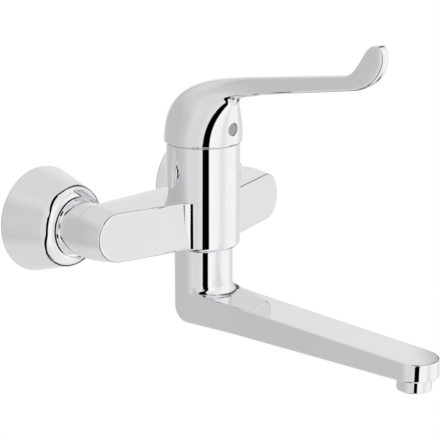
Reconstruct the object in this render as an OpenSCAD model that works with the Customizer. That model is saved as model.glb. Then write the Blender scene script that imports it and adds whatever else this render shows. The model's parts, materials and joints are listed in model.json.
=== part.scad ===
// Wall-mounted single-lever mixer tap with a long elbow lever and a swivel spout.
// Millimetres, +Z up. The wall is the plane y = 0 and the tap stands out along -Y.
// The origin lies on the wall, midway between the two wall threads.

/* [Wall connection] */
// Distance between the two inlets
inlet_spacing = 150; // [146:0.5:156]
// Outer diameter of the wall thread, G 1/2
stud_d = 20.95; // [19:0.05:22]
// Length of the wall thread behind the wall
stud_length = 20; // [14:1:28]
// Height of the tap's inlets above the wall threads
union_offset = 7.5; // [4:0.5:9]
// Water bore of the eccentric unions
union_bore = 12; // [9:0.5:14]
// Distance of the unions' cranked part from the wall
crank_start = 4; // [2:0.5:6]
// Length of the unions' cranked part
crank_length = 12; // [9:0.5:14]
// Outer diameter of the coupling thread, G 3/4
tail_d = 26.4; // [25:0.1:27]
// Distance of the unions' sealing face from the wall
tail_end = 40; // [38:0.5:41]

/* [Inlet coupling] */
// Thickness of the inlet washers
washer_t = 2; // [1.5:0.1:2.5]
// Thickness of the nipples' collar
collar_t = 4; // [3:0.1:4.5]
// Outer diameter of the inlet nipples
nipple_d = 20; // [18:0.2:21]
// Water bore of the inlet nipples
nipple_bore = 14; // [10:0.5:15]
// Depth of the nipples' thread in the arms
nipple_depth = 10; // [7:0.5:11]
// Outer diameter of the union nuts
nut_d = 37; // [35:0.2:37.6]
// Distance of the union nuts' back from the wall
nut_start = 22; // [19:0.5:25]
// Length of the union nuts' hexagon, inside the rosette
nut_hex = 11; // [8:0.5:13]

/* [Rosette] */
// Diameter of the rosette at the wall
rosette_d = 73; // [68:0.5:80]
// Distance of the rosette's front from the wall
rosette_depth = 35.9; // [34:0.1:38]
// Radius of the rosette's rounded front
rosette_arch = 8.4; // [6:0.2:10]
// Wall thickness of the rosette
rosette_wall = 1.6; // [1.2:0.1:2.2]
// Outer diameter of the centring bush
bush_d = 40.6; // [39:0.1:42]
// Length of the centring bush
bush_length = 7; // [5:0.5:9]
// Height of the bush's front above the rosette
bush_proud = 1; // [0.5:0.1:1.5]
// Height of the rosette's straight rim at the wall
rosette_rim = 1; // [0.5:0.1:2]

/* [Body] */
// Distance of the barrel's axis from the wall
body_reach = 82.5; // [80:0.5:86]
// Diameter of the barrel
barrel_d = 50.5; // [50:0.1:52]
// Height of the barrel's top above the inlets
barrel_top = 53.5; // [52:0.5:58]
// Depth of the barrel's bottom below the inlets
barrel_drop = 18.4; // [18:0.1:21]
// Rounding of the barrel's lower edge
barrel_foot = 2.5; // [1:0.1:3.5]
// Rounding of the barrel's upper edge
barrel_lip = 0.6; // [0.3:0.1:0.8]
// Height of the arms at their back
arm_back_height = 37.2; // [35:0.2:38]
// Height of the arms' front face, at the inlets
arm_front_height = 34.4; // [32:0.2:35]
// Distance of the arms' back from the wall
arm_back = 54; // [53:0.5:56]
// Distance of the arms' front from the wall, at the inlets
arm_front = 78; // [76:0.5:80]
// Angle by which the arms sweep back from the barrel
arm_sweep = 15; // [10:0.5:17]
// Diameter of the water channels in the arms
channel_d = 15; // [10:0.5:15.5]

/* [Cartridge] */
// Diameter of the cartridge
cartridge_d = 40; // [39:0.1:41]
// Height of the cartridge's seat above the inlets
seat_height = 12; // [11:0.5:13]
// Diameter of the water ports
port_d = 7; // [5:0.1:7.5]
// Distance of the inlet ports from the barrel's axis, sideways
port_spread = 9.5; // [8.5:0.1:10.5]
// Distance of the outlet port from the barrel's axis, to the front
outlet_port = 8; // [7.6:0.1:8.4]
// Thickness of the cartridge's base
base_t = 4; // [3.5:0.1:4.5]
// Height of the seals under the base
seal_t = 1.2; // [0.8:0.1:1.5]
// Thickness of each ceramic disc
disc_t = 4; // [3:0.1:4.5]
// Diameter of the fixed ceramic disc
fixed_disc_d = 34; // [32:0.5:35]
// Diameter of the moving ceramic disc
moving_disc_d = 23; // [21:0.2:24]
// Wall thickness of the cartridge's housing
housing_wall = 1.5; // [1.2:0.1:1.8]
// Diameter of the turret that turns with the lever
turret_d = 33; // [32:0.1:33.6]
// Thickness of the turret's flange
flange_t = 3; // [2:0.1:3.5]
// Depth of the lever's pivot below the cap's lower edge
pivot_drop = 6.5; // [6:0.1:7]
// Distance of the drive ball below the pivot
drive_arm = 14; // [13:0.1:15]
// Diameter of the drive ball
ball_d = 7; // [6:0.1:7.5]
// Depth of the spindle's neck below the drive ball's surface
neck_cut = 0.9; // [0.6:0.1:1.2]
// Height of the carrier's walls above the drive ball's centre
carrier_rise = 2.2; // [1.8:0.1:2.4]
// Wall of the carrier around the drive ball
carrier_wall = 3; // [2.5:0.1:3.4]
// Thickness of the carrier's plate on the moving disc
carrier_plate = 3; // [2:0.1:3.2]
// Diameter of the pivot pin
pin_d = 4; // [3:0.1:4.4]
// Distance of the pivot pin's ends from the turret's side
pin_inset = 2; // [1:0.1:3]
// Wall of the turret above the pivot pin
pin_wall = 0.7; // [0.4:0.1:0.8]
// Distance of the housing's top below the pivot pin
housing_drop = 1.3; // [1:0.1:1.6]
// Width of the square spindle
spindle_w = 8; // [7:0.1:8.6]
// Height of the spindle's end above the pivot
spindle_rise = 36; // [32:0.5:38]
// Outer diameter of the cartridge's ring nut
ring_nut_d = 43; // [42.4:0.1:44]
// Depth of the ring nut's top below the barrel's top
ring_nut_sink = 2.5; // [2:0.1:3]
// Radial gap between the turret and the ring nut
turret_clear = 0.7; // [0.5:0.1:0.8]
// Width of the ring nut's spanner notches
notch_w = 4; // [3:0.1:5]
// Depth of the ring nut's spanner notches
notch_depth = 2; // [1:0.1:2.4]
// Height of the cover ring above the barrel
cover_rise = 4; // [3:0.1:4.4]
// Greatest lift of the lever, in degrees
lift_max = 25; // [20:1:25]

/* [Lever] */
// Diameter of the lever's cap
cap_d = 53.6; // [53.2:0.1:55]
// Seam between the barrel and the cap
cap_gap = 0.8; // [0.6:0.1:1.2]
// Radius of the hollow in the cap, about the pivot
hollow_r = 26.2; // [26:0.05:26.3]
// Distance of the lever's end from the barrel's axis
lever_reach = 149.4; // [125:0.5:180]
// Distance from the cap's edge to the start of the blade
blade_offset = 18; // [15:0.5:22]
// Height of the blade's top above the cap's lower edge, where the blade leaves the cap
blade_crown = 48.3; // [46:0.1:52]
// Height of the blade where it leaves the cap
blade_root_h = 12; // [10:0.1:14]
// Height of the blade at its end
blade_end_h = 9.6; // [8:0.1:11]
// Thickness of the blade
blade_t = 8; // [6:0.1:10]
// Rise of the blade's top edge, in degrees
blade_rise = 7; // [4:0.5:12]
// Height of the upturned end above the line of the blade's top
paddle_height = 17; // [12:0.5:22]
// Length of the upturned end along the top edge
paddle_length = 29; // [24:0.5:34]
// Length of the upturned end along the underside
heel_length = 19.5; // [17:0.5:22]
// Distance of the tip's crest behind the lever's end
tip_lean = 4.4; // [3.6:0.1:5.2]
// Diameter of the lever's hub around the spindle
hub_d = 18; // [16:0.2:19]
// Height of the hub's lower end above the pivot
hub_rise = 10.5; // [9.5:0.1:12]
// Diameter of the lever's set screw
set_screw_d = 5; // [4:0.1:6]
// Length by which the set screw stands out of the hub
set_screw_proud = 2; // [1:0.1:3]
// Depth of the hexagon sockets in the screws
socket_depth = 2; // [1.5:0.1:2.5]
// Height of the set screw and the indicator above the cap's lower edge
indicator_height = 11; // [10:0.1:13]
// Diameter of the round indicator
indicator_d = 9; // [7.5:0.1:10]
// Thickness of the indicator
indicator_t = 4.5; // [3.5:0.1:5]
// Wall of the indicator
indicator_wall = 1.5; // [1:0.1:2]
// Depth of the indicator's face behind the cap's edge
indicator_sink = 0.5; // [0.3:0.1:1]

/* [Lever curves] */
// Share of the crown's height to which the cap's sides rise steeply
cap_swell = 0.78; // [0.7:0.01:0.85]
// Lean of the cap's back to the outside
back_bulge = 0.5; // [0:0.1:1]
// Lean of the cap's front to the inside
front_lean = 1.5; // [0.8:0.1:2]
// Length over which the top edge runs from the blade into the dome
dome_run = 52; // [46:1:56]
// Depth of the throat below the line of the blade's underside
throat_drop = 4.6; // [3:0.1:6]
// Length over which the top edge starts to turn up
bend_run = 6; // [4:0.5:9]
// Length over which the underside starts to turn up
heel_run = 3; // [2:0.5:5]
// Thickness of the upturned end behind the tip's crest
tip_depth = 9.4; // [8:0.1:11]
// Depth of the tip's rounding below its crest, at the back
tip_back_drop = 4; // [3:0.1:5]
// Depth of the tip's rounding below its crest, at the front
tip_front_drop = 8; // [7:0.1:9]
// How fast the cap narrows towards the blade at first
narrow_start = 1.7; // [1.4:0.1:2.2]
// How softly the cap's narrowing ends at the blade
narrow_end = 1.3; // [1.1:0.1:1.8]

/* [Spout] */
// Diameter of the spout's pillar
pillar_d = 40.4; // [38:0.2:42]
// Distance of the outlet from the barrel's axis
spout_reach = 177.5; // [150:0.5:220]
// Depth of the spout's underside below the barrel
spout_depth = 52.9; // [52:0.1:60]
// Height of the spout at the pillar
spout_root_h = 22.1; // [20:0.1:23]
// Height of the spout at the outlet
spout_tip_h = 12.6; // [12.2:0.1:16]
// Diameter of the spout's round end
spout_tip_d = 31; // [29:0.2:34]
// Width of the spout where the flare of the pillar ends
spout_root_w = 33.8; // [32.4:0.2:35]
// Radius of the flare between the pillar and the spout's arm
flare_r = 550; // [450:10:700]
// Rounding of the pillar's lower back edge
heel_round = 28; // [24:0.5:30]
// Height of the pillar's water bore over the spout's underside
heel_floor = 8; // [7.5:0.5:9]
// Wall around the spout's waterway
spout_wall = 3; // [2.5:0.1:3.2]

/* [Spout bearing] */
// Diameter of the spigot that the spout turns on
spigot_d = 26; // [25:0.1:27]
// Length of the spigot below the barrel
spigot_length = 29; // [28:0.5:30]
// Water bore of the spigot
spigot_bore = 16; // [13:0.2:16.4]
// Diameter of the spigot's upper thread
spigot_thread_d = 24; // [22:0.1:24.4]
// Length of the spigot's upper thread
spigot_thread = 7.5; // [6:0.1:8]
// Thickness of the O-rings
oring_t = 2.8; // [2:0.1:3]
// Play of the O-rings in their grooves, on each side
oring_play = 0.2; // [0.1:0.05:0.3]
// Depth of the upper O-ring below the barrel
oring_upper = 5; // [4.5:0.1:5.5]
// Depth of the lower O-ring below the barrel
oring_lower = 17; // [16.5:0.1:17.5]
// Depth of the bearing ring below the barrel
bearing_drop = 11; // [10.5:0.1:11.5]
// Depth of the bearing ring's groove
bearing_t = 1.4; // [1:0.1:1.8]
// Width of the bearing ring
bearing_w = 4; // [3:0.1:4.4]
// Thickness of the glide washer
glide_t = 0.8; // [0.5:0.1:1.2]
// Distance of the glide washer's edge from the pillar's side
glide_inset = 0.8; // [0.4:0.1:1.2]
// Play between the glide washer and the pillar
glide_play = 0.1; // [0.05:0.05:0.2]
// Diameter of the spout's retaining screw
keeper_d = 5; // [4:0.1:5.4]
// Depth of the groove for the retaining screw
keeper_groove = 2; // [1.5:0.1:2.5]
// Width of the spigot's lip below that groove
keeper_lip = 1.4; // [1:0.1:1.8]
// Depth of the retaining screw's end in the pillar
keeper_sink = 1; // [0.5:0.1:1.5]

/* [Aerator] */
// Outer diameter of the aerator
aerator_d = 22.4; // [22:0.1:24]
// Height of the aerator below the spout
aerator_drop = 8.6; // [7:0.1:11]
// Diameter of the aerator's thread
aerator_thread_d = 20; // [18.6:0.1:20.6]
// Length of the aerator's thread
aerator_thread = 6.4; // [5:0.1:6.6]
// Diameter of the jet regulator
regulator_d = 16.6; // [15:0.1:17]
// Height of the jet regulator
regulator_h = 9; // [7:0.1:10]
// Width of the ledge that carries the jet regulator
regulator_ledge = 1; // [0.6:0.1:1.4]
// Diameter of the regulator's jets
jet_d = 1.6; // [1:0.1:1.8]
// Distance between the rings of jets
jet_pitch = 2.5; // [2.4:0.1:3]
// Thickness of the aerator's seal
aerator_seal_t = 1.4; // [1:0.1:1.6]

/* [Fits] */
// Radial clearance of pieces that are screwed or pushed together
slip = 0.05; // [0.03:0.01:0.08]
// Radial clearance of pieces that turn in each other
run = 0.06; // [0.03:0.01:0.09]
// Gap between pieces that pass each other
gap = 0.3; // [0.2:0.05:0.35]
// Room around inner pieces that need no fit
room = 0.5; // [0.4:0.05:0.6]

/* [Hidden] */
$fn = 96;

CHROME = [0.86, 0.87, 0.88];
BRASS = [0.78, 0.64, 0.34];
STEEL = [0.62, 0.63, 0.65];
RUBBER = [0.10, 0.10, 0.11];
CERAMIC = [0.93, 0.92, 0.88];
WHITE_PLASTIC = [0.88, 0.88, 0.86];
GREY_PLASTIC = [0.62, 0.63, 0.64];

// Overlap of a cutter past the face that it opens
past = 1;
// Step by which faces that would only touch are made to cross
cross = 0.02;

// Inlet side, measured from the wall
crank_end = crank_start + crank_length;
washer_end = tail_end + washer_t;
collar_end = washer_end + collar_t;
nut_end = arm_back - gap;
nut_thread_d = tail_d + 2 * slip;
collar_d = tail_d - 2 * gap;
bush_end = rosette_depth + bush_proud;
bush_start = bush_end - bush_length;

// Barrel, measured from the height of the inlets
sweep_rise = tan(arm_sweep);
inlet_x = inlet_spacing / 2;
channel_depth = (arm_back + arm_front) / 2;
channel_run = [inlet_x - port_spread, body_reach - channel_depth];
channel_aim = atan2(channel_run[1], channel_run[0]);
base_top = seat_height + base_t;
fixed_top = base_top + disc_t;
moving_bottom = fixed_top + slip;
moving_top = moving_bottom + disc_t;
cap_z = barrel_top + cap_gap;
pivot_z = cap_z - pivot_drop;
ball_z = pivot_z - drive_arm;
carrier_top = ball_z + carrier_rise;
flange_z = carrier_top + room;
flange_top = flange_z + flange_t;
shoulder_z = flange_top + gap;
housing_top = pivot_z - pin_d / 2 - housing_drop;
turret_top = pivot_z + pin_d / 2 + pin_wall;
ring_nut_top = barrel_top - ring_nut_sink;
housing_bore = cartridge_d - 2 * housing_wall;
flange_d = housing_bore - 4 * gap;
ring_nut_bore = turret_d + 2 * turret_clear;
neck_d = ball_d - 2 * neck_cut;
pocket_w = ball_d + 2 * room;
block_w = pocket_w + 2 * carrier_wall;
slide_travel = drive_arm * lift_max * PI / 180;
disc_shift = slide_travel / 2;
slot_front = drive_arm * sin(lift_max) + ball_d / 2 + gap;
slot_back = (turret_top - pivot_z) * tan(lift_max) + spindle_w / 2 / cos(lift_max) + gap;
dome_r = hollow_r - 3 * gap;
cover_top = barrel_top + cover_rise;

// Spout, measured from the height of the inlets
glide_z = -barrel_drop - glide_t;
pillar_top = glide_z - glide_play;
spout_bottom = -barrel_drop - spout_depth;
spout_slope = (spout_root_h - spout_tip_h) / spout_reach;
spigot_end = -barrel_drop - spigot_length;
socket_end = spigot_end - 2 * room;
groove_w = oring_t + 2 * oring_play;
groove_r = spigot_d / 2 - oring_t - slip;
oring_r = spigot_d / 2 - oring_t / 2;
oring_heights = [-barrel_drop - oring_upper, -barrel_drop - oring_lower];
bearing_z = -barrel_drop - bearing_drop;
keeper_z = spigot_end + keeper_d / 2 + gap + keeper_lip;

module on_inlet(side)
    translate([side * inlet_x, 0, union_offset])
        rotate([90, 0, 0])
            children();

module on_barrel()
    translate([0, -body_reach, union_offset])
        children();

// Ring around the local Z axis
module tube(outer_d, inner_d, from, to)
    translate([0, 0, from])
        difference() {
            cylinder(d = outer_d, h = to - from);
            translate([0, 0, -past])
                cylinder(d = inner_d, h = to - from + 2 * past);
        }

// Hole along the local Z axis
module hole(d, from, to)
    translate([0, 0, from])
        cylinder(d = d, h = to - from);

module s_union(side)
    color(BRASS)
        on_inlet(side)
            difference() {
                union() {
                    translate([0, -union_offset, 0])
                        hole(stud_d, -stud_length, crank_start + past);
                    translate([0, 0, crank_start])
                        linear_extrude(crank_length)
                            crank_outline();
                    hole(tail_d, crank_end - past, tail_end);
                }
                translate([0, -union_offset, 0])
                    hole(union_bore, -stud_length - past, crank_end - crank_length / 4);
                hole(union_bore, crank_start + crank_length / 4, tail_end + past);
            }

module crank_outline() {
    circle(d = tail_d);
    translate([0, -union_offset])
        circle(d = tail_d);
    translate([-tail_d / 2, -union_offset])
        square([tail_d, union_offset]);
}

module inlet_washer(side)
    color(RUBBER)
        on_inlet(side)
            tube(collar_d, nipple_bore, tail_end, washer_end);

module inlet_nipple(side)
    color(BRASS)
        on_inlet(side)
            difference() {
                union() {
                    hole(collar_d, washer_end, collar_end);
                    hole(nipple_d, washer_end, arm_back + nipple_depth);
                }
                hole(nipple_bore, washer_end - past, arm_back + nipple_depth + past);
            }

module union_nut(side)
    color(CHROME)
        on_inlet(side)
            difference() {
                union() {
                    translate([0, 0, nut_start])
                        cylinder(d = nut_d, h = nut_hex + past, $fn = 6);
                    hole(nut_d, nut_start + nut_hex, nut_end);
                }
                hole(nut_thread_d, nut_start - past, collar_end + slip);
                hole(nipple_d + 2 * gap, nut_start - past, nut_end + past);
            }

// Point where a line from outside touches a circle, on the side that it passes counter-clockwise
function touch_point(from, centre, r) =
    let (
        v = from - centre,
        a = atan2(v[1], v[0]) + acos(r / norm(v))
    )
    centre + r * [cos(a), sin(a)];

// Half section of the bell, radius against distance from the wall: a cone with a rounded front
module bell_outline(inset) {
    centre = [bush_d / 2, rosette_depth - rosette_arch];
    foot = [rosette_d / 2 - inset, rosette_rim];
    edge = touch_point(foot, centre, rosette_arch - inset);
    polygon([[0, -inset], [foot[0], -inset], foot, edge, centre, [0, centre[1]]]);
    translate(centre)
        circle(rosette_arch - inset);
    translate([0, centre[1] - past])
        square([centre[0], rosette_arch - inset + past]);
}

module rosette(side)
    color(CHROME)
        on_inlet(side)
            difference() {
                rotate_extrude()
                    bell_outline(0);
                rotate_extrude()
                    bell_outline(rosette_wall);
                hole(bush_d + 2 * slip, 0, rosette_depth + past);
            }

module rosette_bush(side)
    color(CHROME)
        on_inlet(side)
            rotate_extrude()
                translate([nut_d / 2 + slip, bush_start])
                    bush_outline((bush_d - nut_d) / 2 - slip, bush_length);

// Half section of the bush, with a rounded front
module bush_outline(w, h) {
    square([w, h - w / 2]);
    translate([w / 2, h - w / 2])
        circle(w / 2);
}

module mixer_body()
    color(CHROME)
        difference() {
            union() {
                on_barrel()
                    rotate_extrude()
                        barrel_outline();
                for (side = [-1, 1])
                    arm(side);
            }
            for (side = [-1, 1])
                inlet_cuts(side);
            on_barrel()
                barrel_cuts();
        }

// Half section of the barrel, with rounded upper and lower edges
module barrel_outline() {
    r = barrel_d / 2;
    translate([0, -barrel_drop])
        square([r - barrel_foot, barrel_top + barrel_drop]);
    translate([0, barrel_foot - barrel_drop])
        square([r, barrel_top + barrel_drop - barrel_foot - barrel_lip]);
    translate([0, barrel_top - barrel_lip - past])
        square([r - barrel_lip, barrel_lip + past]);
    translate([r - barrel_foot, barrel_foot - barrel_drop])
        circle(barrel_foot);
    translate([r - barrel_lip, barrel_top - barrel_lip])
        circle(barrel_lip);
}

// Half height of the arms, which taper a little from the back to the front
arm_draft = (arm_back_height - arm_front_height) / 2 / (arm_front - arm_back);
function arm_half(d) = arm_back_height / 2 - (d - arm_back) * arm_draft;
arm_reach = arm_front + inlet_x * sweep_rise;

// Swept arm: a bar with a round end about the inlet, cut to its swept outline seen from above
module arm(side)
    mirror([side < 0 ? 0 : 1, 0, 0])
        intersection() {
            union() {
                on_inlet(-1)
                    translate([0, 0, arm_back])
                        cylinder(
                            r1 = arm_half(arm_back), r2 = arm_half(arm_reach),
                            h = arm_reach - arm_back
                        );
                arm_bar();
            }
            translate([0, 0, union_offset - arm_back_height])
                linear_extrude(2 * arm_back_height)
                    arm_plan();
        }

// Tapering bar from the inlet to the barrel; a little lower than the round end so that the two cross
module arm_bar() {
    back_half = arm_half(arm_back) - cross;
    front_half = arm_half(arm_reach) - cross;
    translate([-inlet_x, 0, union_offset])
        rotate([90, 0, 90])
            linear_extrude(inlet_x)
                polygon([
                    [-arm_back, back_half], [-arm_reach, front_half],
                    [-arm_reach, -front_half], [-arm_back, -back_half]
                ]);
}

module arm_plan() {
    outer = inlet_x + arm_back_height;
    polygon([
        [-outer, -arm_back],
        [0, -arm_back],
        [0, -arm_reach],
        [-outer, -arm_reach + outer * sweep_rise]
    ]);
}

// Nipple thread, chamber, channel and riser of one inlet
module inlet_cuts(side) {
    on_inlet(side) {
        hole(nipple_d + 2 * slip, arm_back - past, arm_back + nipple_depth + room);
        hole(nipple_bore, arm_back, channel_depth + channel_d / 2);
    }
    translate([side * inlet_x, -channel_depth, union_offset])
        rotate([0, 0, side * channel_aim])
            rotate([0, -side * 90, 0])
                cylinder(d = channel_d, h = norm(channel_run));
    on_barrel()
        translate([side * port_spread, 0, 0])
            cylinder(d = port_d, h = seat_height + past);
}

// Seat of the cartridge, thread of its ring nut, outlet port, thread of the spigot and room for the pillar
module barrel_cuts() {
    hole(cartridge_d + 2 * slip, seat_height, barrel_top + past);
    hole(ring_nut_d + 2 * slip, housing_top - room, barrel_top + past);
    translate([0, -outlet_port, 0])
        hole(port_d, spigot_thread - barrel_drop, seat_height + past);
    hole(spigot_thread_d + 2 * slip, -barrel_drop - past, spigot_thread - barrel_drop + 3 * room);
    hole(pillar_d + 2 * past, -barrel_drop - 3 * past, -barrel_drop);
}

// The three water ports, left, right and outlet
module at_ports() {
    for (side = [-1, 1])
        translate([side * port_spread, 0, 0])
            children();
    translate([0, -outlet_port, 0])
        children();
}

module cartridge_base()
    color(GREY_PLASTIC)
        on_barrel()
            difference() {
                hole(cartridge_d, seat_height, base_top);
                at_ports() {
                    hole(port_d, seat_height - past, base_top + past);
                    hole(port_d + 4 * seal_t, seat_height - past, seat_height + seal_t);
                }
            }

module base_seals()
    color(RUBBER)
        on_barrel()
            at_ports()
                tube(port_d + 4 * seal_t - 2 * slip, port_d + 2 * slip, seat_height, seat_height + seal_t);

module cartridge_housing()
    color(WHITE_PLASTIC)
        on_barrel()
            difference() {
                hole(cartridge_d, base_top, housing_top);
                hole(housing_bore, base_top - past, shoulder_z);
                hole(turret_d + 2 * run, base_top, housing_top + past);
            }

module fixed_disc()
    color(CERAMIC)
        on_barrel()
            difference() {
                hole(fixed_disc_d, base_top, fixed_top);
                at_ports()
                    hole(port_d, base_top - past, fixed_top + past);
            }

// The moving disc is stored in its closed place, behind the outlet port
module moving_disc()
    color(CERAMIC)
        on_barrel()
            translate([0, disc_shift, 0])
                difference() {
                    hole(moving_disc_d, moving_bottom, moving_top);
                    hole(moving_disc_d / 2, moving_bottom - past, moving_bottom + disc_t / 2);
                }

module disc_carrier()
    color(GREY_PLASTIC)
        on_barrel()
            difference() {
                union() {
                    translate([0, disc_shift, 0])
                        hole(moving_disc_d + 2 * room, moving_top, moving_top + carrier_plate);
                    translate([-block_w / 2, -block_w / 2, moving_top])
                        cube([block_w, block_w, carrier_top - moving_top]);
                }
                translate([-pocket_w / 2, -pocket_w / 2, ball_z - ball_d / 2 - 2 * room])
                    cube([pocket_w, pocket_w, 2 * ball_d]);
            }

module turret()
    color(WHITE_PLASTIC)
        on_barrel()
            difference() {
                union() {
                    hole(flange_d, flange_z, flange_top);
                    hole(turret_d, flange_z, turret_top);
                }
                translate([-spindle_w / 2 - gap, -slot_front, flange_z - past])
                    cube([spindle_w + 2 * gap, slot_front + slot_back, turret_top - flange_z + 2 * past]);
                translate([-turret_d, 0, pivot_z])
                    rotate([0, 90, 0])
                        cylinder(d = pin_d + 2 * slip, h = 2 * turret_d);
            }

module pivot_pin()
    color(STEEL)
        on_barrel()
            translate([-turret_d / 2 + pin_inset, 0, pivot_z])
                rotate([0, 90, 0])
                    cylinder(d = pin_d, h = turret_d - 2 * pin_inset);

module lever_spindle()
    color(STEEL)
        on_barrel()
            difference() {
                union() {
                    translate([0, 0, ball_z])
                        sphere(d = ball_d);
                    hole(neck_d, ball_z, pivot_z);
                    translate([-spindle_w / 2, -spindle_w / 2, pivot_z - pin_d])
                        cube([spindle_w, spindle_w, spindle_rise + pin_d]);
                }
                translate([-spindle_w, 0, pivot_z])
                    rotate([0, 90, 0])
                        cylinder(d = pin_d + 2 * run, h = 2 * spindle_w);
            }

// Ring nut with spanner notches across its top
module ring_nut()
    color(BRASS)
        on_barrel()
            difference() {
                tube(ring_nut_d, ring_nut_bore, housing_top, ring_nut_top);
                for (turn = [0 : 60 : 120])
                    rotate([0, 0, turn])
                        translate([-cartridge_d, -notch_w / 2, ring_nut_top - notch_depth])
                            cube([2 * cartridge_d, notch_w, notch_depth + past]);
            }

// Domed ring under the lever's cap, concentric with the lever's pivot
module cover_ring()
    color(CHROME)
        on_barrel()
            difference() {
                union() {
                    hole(ring_nut_d, ring_nut_top, barrel_top + past);
                    intersection() {
                        translate([0, 0, pivot_z])
                            sphere(dome_r);
                        hole(barrel_d, barrel_top, cover_top);
                    }
                }
                hole(ring_nut_bore + 2 * room, ring_nut_top - past, cover_top + past);
            }

// Point of a cubic curve
function curve(p, t) =
    p[0] * pow(1 - t, 3) + p[1] * 3 * t * pow(1 - t, 2) + p[2] * 3 * t * t * (1 - t) + p[3] * pow(t, 3);

// The lever's side view: distance in front of the barrel's axis, and height.
// Each stretch of the lever has a curve along its top and one along its underside,
// given by its two ends and, between them, the two points that it leans towards.
cap_r = cap_d / 2;
top_slope = tan(blade_rise);
blade_start = cap_r + blade_offset;
bend = lever_reach - paddle_length;
heel = lever_reach - heel_length;
low_slope = top_slope + (blade_root_h - blade_end_h) / (heel - blade_start);
function top_line(f) = cap_z + blade_crown + (f - blade_start) * top_slope;
function low_line(f) = cap_z + blade_crown - blade_root_h + (f - blade_start) * low_slope;
function on_top(f) = [f, top_line(f)];
function on_low(f) = [f, low_line(f)];
function straight(a, b) = [a, a + (b - a) / 3, b - (b - a) / 3, b];
end_z = top_line(lever_reach) + paddle_height;
end_f = lever_reach - tip_lean;
swell_z = cap_z + cap_swell * blade_crown;
tip_back = [end_f - tip_depth, end_z - tip_back_drop];
tip_front = [lever_reach, end_z - tip_front_drop];
crest = [end_f, end_z];

dome_top = [
    [-cap_r, cap_z],
    [-cap_r - back_bulge, swell_z],
    on_top(blade_start - dome_run),
    on_top(blade_start)
];
dome_low = [
    [cap_r, cap_z],
    [cap_r - front_lean, swell_z],
    [cap_r - front_lean, low_line(blade_start) - throat_drop],
    on_low(blade_start)
];
blade_top = straight(on_top(blade_start), on_top(bend));
blade_low = straight(on_low(blade_start), on_low(heel - heel_run));
paddle_top = [
    on_top(bend),
    on_top(bend + bend_run),
    [end_f - 1.5 * tip_depth, end_z - 2.5 * tip_back_drop],
    tip_back
];
paddle_low = [
    on_low(heel - heel_run),
    on_low(heel + 3 * heel_run),
    [lever_reach, end_z - 2.4 * tip_front_drop],
    tip_front
];
tip_top = [
    tip_back,
    [end_f - 0.7 * tip_depth, end_z - 0.1 * tip_back_drop],
    [end_f - 0.43 * tip_depth, end_z + 0.1 * tip_back_drop],
    crest
];
tip_low = [
    tip_front,
    [lever_reach, end_z - 0.56 * tip_front_drop],
    [end_f + 0.68 * tip_lean, end_z - 0.15 * tip_back_drop],
    crest
];
stretches = [
    [dome_top, dome_low, 14],
    [blade_top, blade_low, 3],
    [paddle_top, paddle_low, 8],
    [tip_top, tip_low, 5]
];
lever_sides = 40;

// Half thickness of the lever: round at the cap, narrowing to the blade
function half_width(stretch, t) =
    stretch > 0 ? blade_t / 2 * (stretch < 3 ? 1 : sqrt(1 - 0.5 * t * t))
    : blade_t / 2 + (cap_r - blade_t / 2) * pow(1 - pow(t, narrow_start), narrow_end);

// Squareness of the lever's section: 2 is an ellipse
function squareness(stretch, t) = stretch > 0 ? 4 : 2 + 2 * t * t;

function signed_power(v, e) = sign(v) * pow(abs(v), e);

function lever_section(stretch, t) =
    let (
        top = curve(stretches[stretch][0], t),
        low = curve(stretches[stretch][1], t),
        mid = (top + low) / 2,
        reach = (top - low) / 2,
        w = half_width(stretch, t),
        e = 2 / squareness(stretch, t)
    )
    [
        for (k = [0 : lever_sides - 1])
            let (
                a = 360 * k / lever_sides,
                across = signed_power(sin(a), e),
                along = signed_power(cos(a), e),
                p = mid + reach * along
            )
            [w * across, -p[0], p[1]]
    ];

lever_sections = [
    for (s = [0 : len(stretches) - 1])
        for (i = [0 : stretches[s][2] - 1])
            lever_section(s, i / stretches[s][2])
];

// Skin through the sections, closed by the flat cap end and by the tip
module lever_skin() {
    rows = len(lever_sections);
    tip = [0, -end_f, end_z];
    points = concat([for (row = lever_sections) each row], [tip]);
    function at(row, k) = row * lever_sides + k % lever_sides;
    sides = [
        for (row = [0 : rows - 2])
            for (k = [0 : lever_sides - 1])
                each [
                    [at(row, k), at(row + 1, k), at(row + 1, k + 1)],
                    [at(row, k), at(row + 1, k + 1), at(row, k + 1)]
                ]
    ];
    foot = [[for (k = [0 : lever_sides - 1]) k]];
    nose = [for (k = [0 : lever_sides - 1]) [at(rows - 1, k), rows * lever_sides, at(rows - 1, k + 1)]];
    polyhedron(points, concat(sides, foot, nose));
}

indicator_z = cap_z + indicator_height;
indicator_face = cap_r - indicator_sink;
hub_z = pivot_z + hub_rise;

// Round hollow of the cap, with the hub for the spindle left standing in it
module cap_hollow()
    difference() {
        translate([0, 0, pivot_z])
            sphere(hollow_r);
        hole(hub_d, hub_z, pivot_z + hollow_r + past);
    }

// Square socket of the hub, a little longer than the spindle
module spindle_socket() {
    w = spindle_w + 2 * slip;
    translate([-w / 2, -w / 2, hub_z - past])
        cube([w, w, pivot_z + spindle_rise + gap - hub_z + past]);
}

module lever()
    color(CHROME)
        on_barrel()
            difference() {
                lever_skin();
                cap_hollow();
                spindle_socket();
                translate([0, 0, indicator_z])
                    rotate([90, 0, 0]) {
                        cylinder(d = set_screw_d + 2 * slip, h = cap_r);
                        hole(indicator_d + 2 * slip, hub_d / 2 + past, cap_d);
                    }
            }

module set_screw()
    color(STEEL)
        on_barrel()
            translate([0, 0, indicator_z])
                rotate([90, 0, 0])
                    difference() {
                        hole(set_screw_d, spindle_w / 2 + slip, hub_d / 2 + set_screw_proud);
                        translate([0, 0, hub_d / 2 + set_screw_proud - socket_depth])
                            cylinder(d = set_screw_d / 2, h = socket_depth + past, $fn = 6);
                    }

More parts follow.
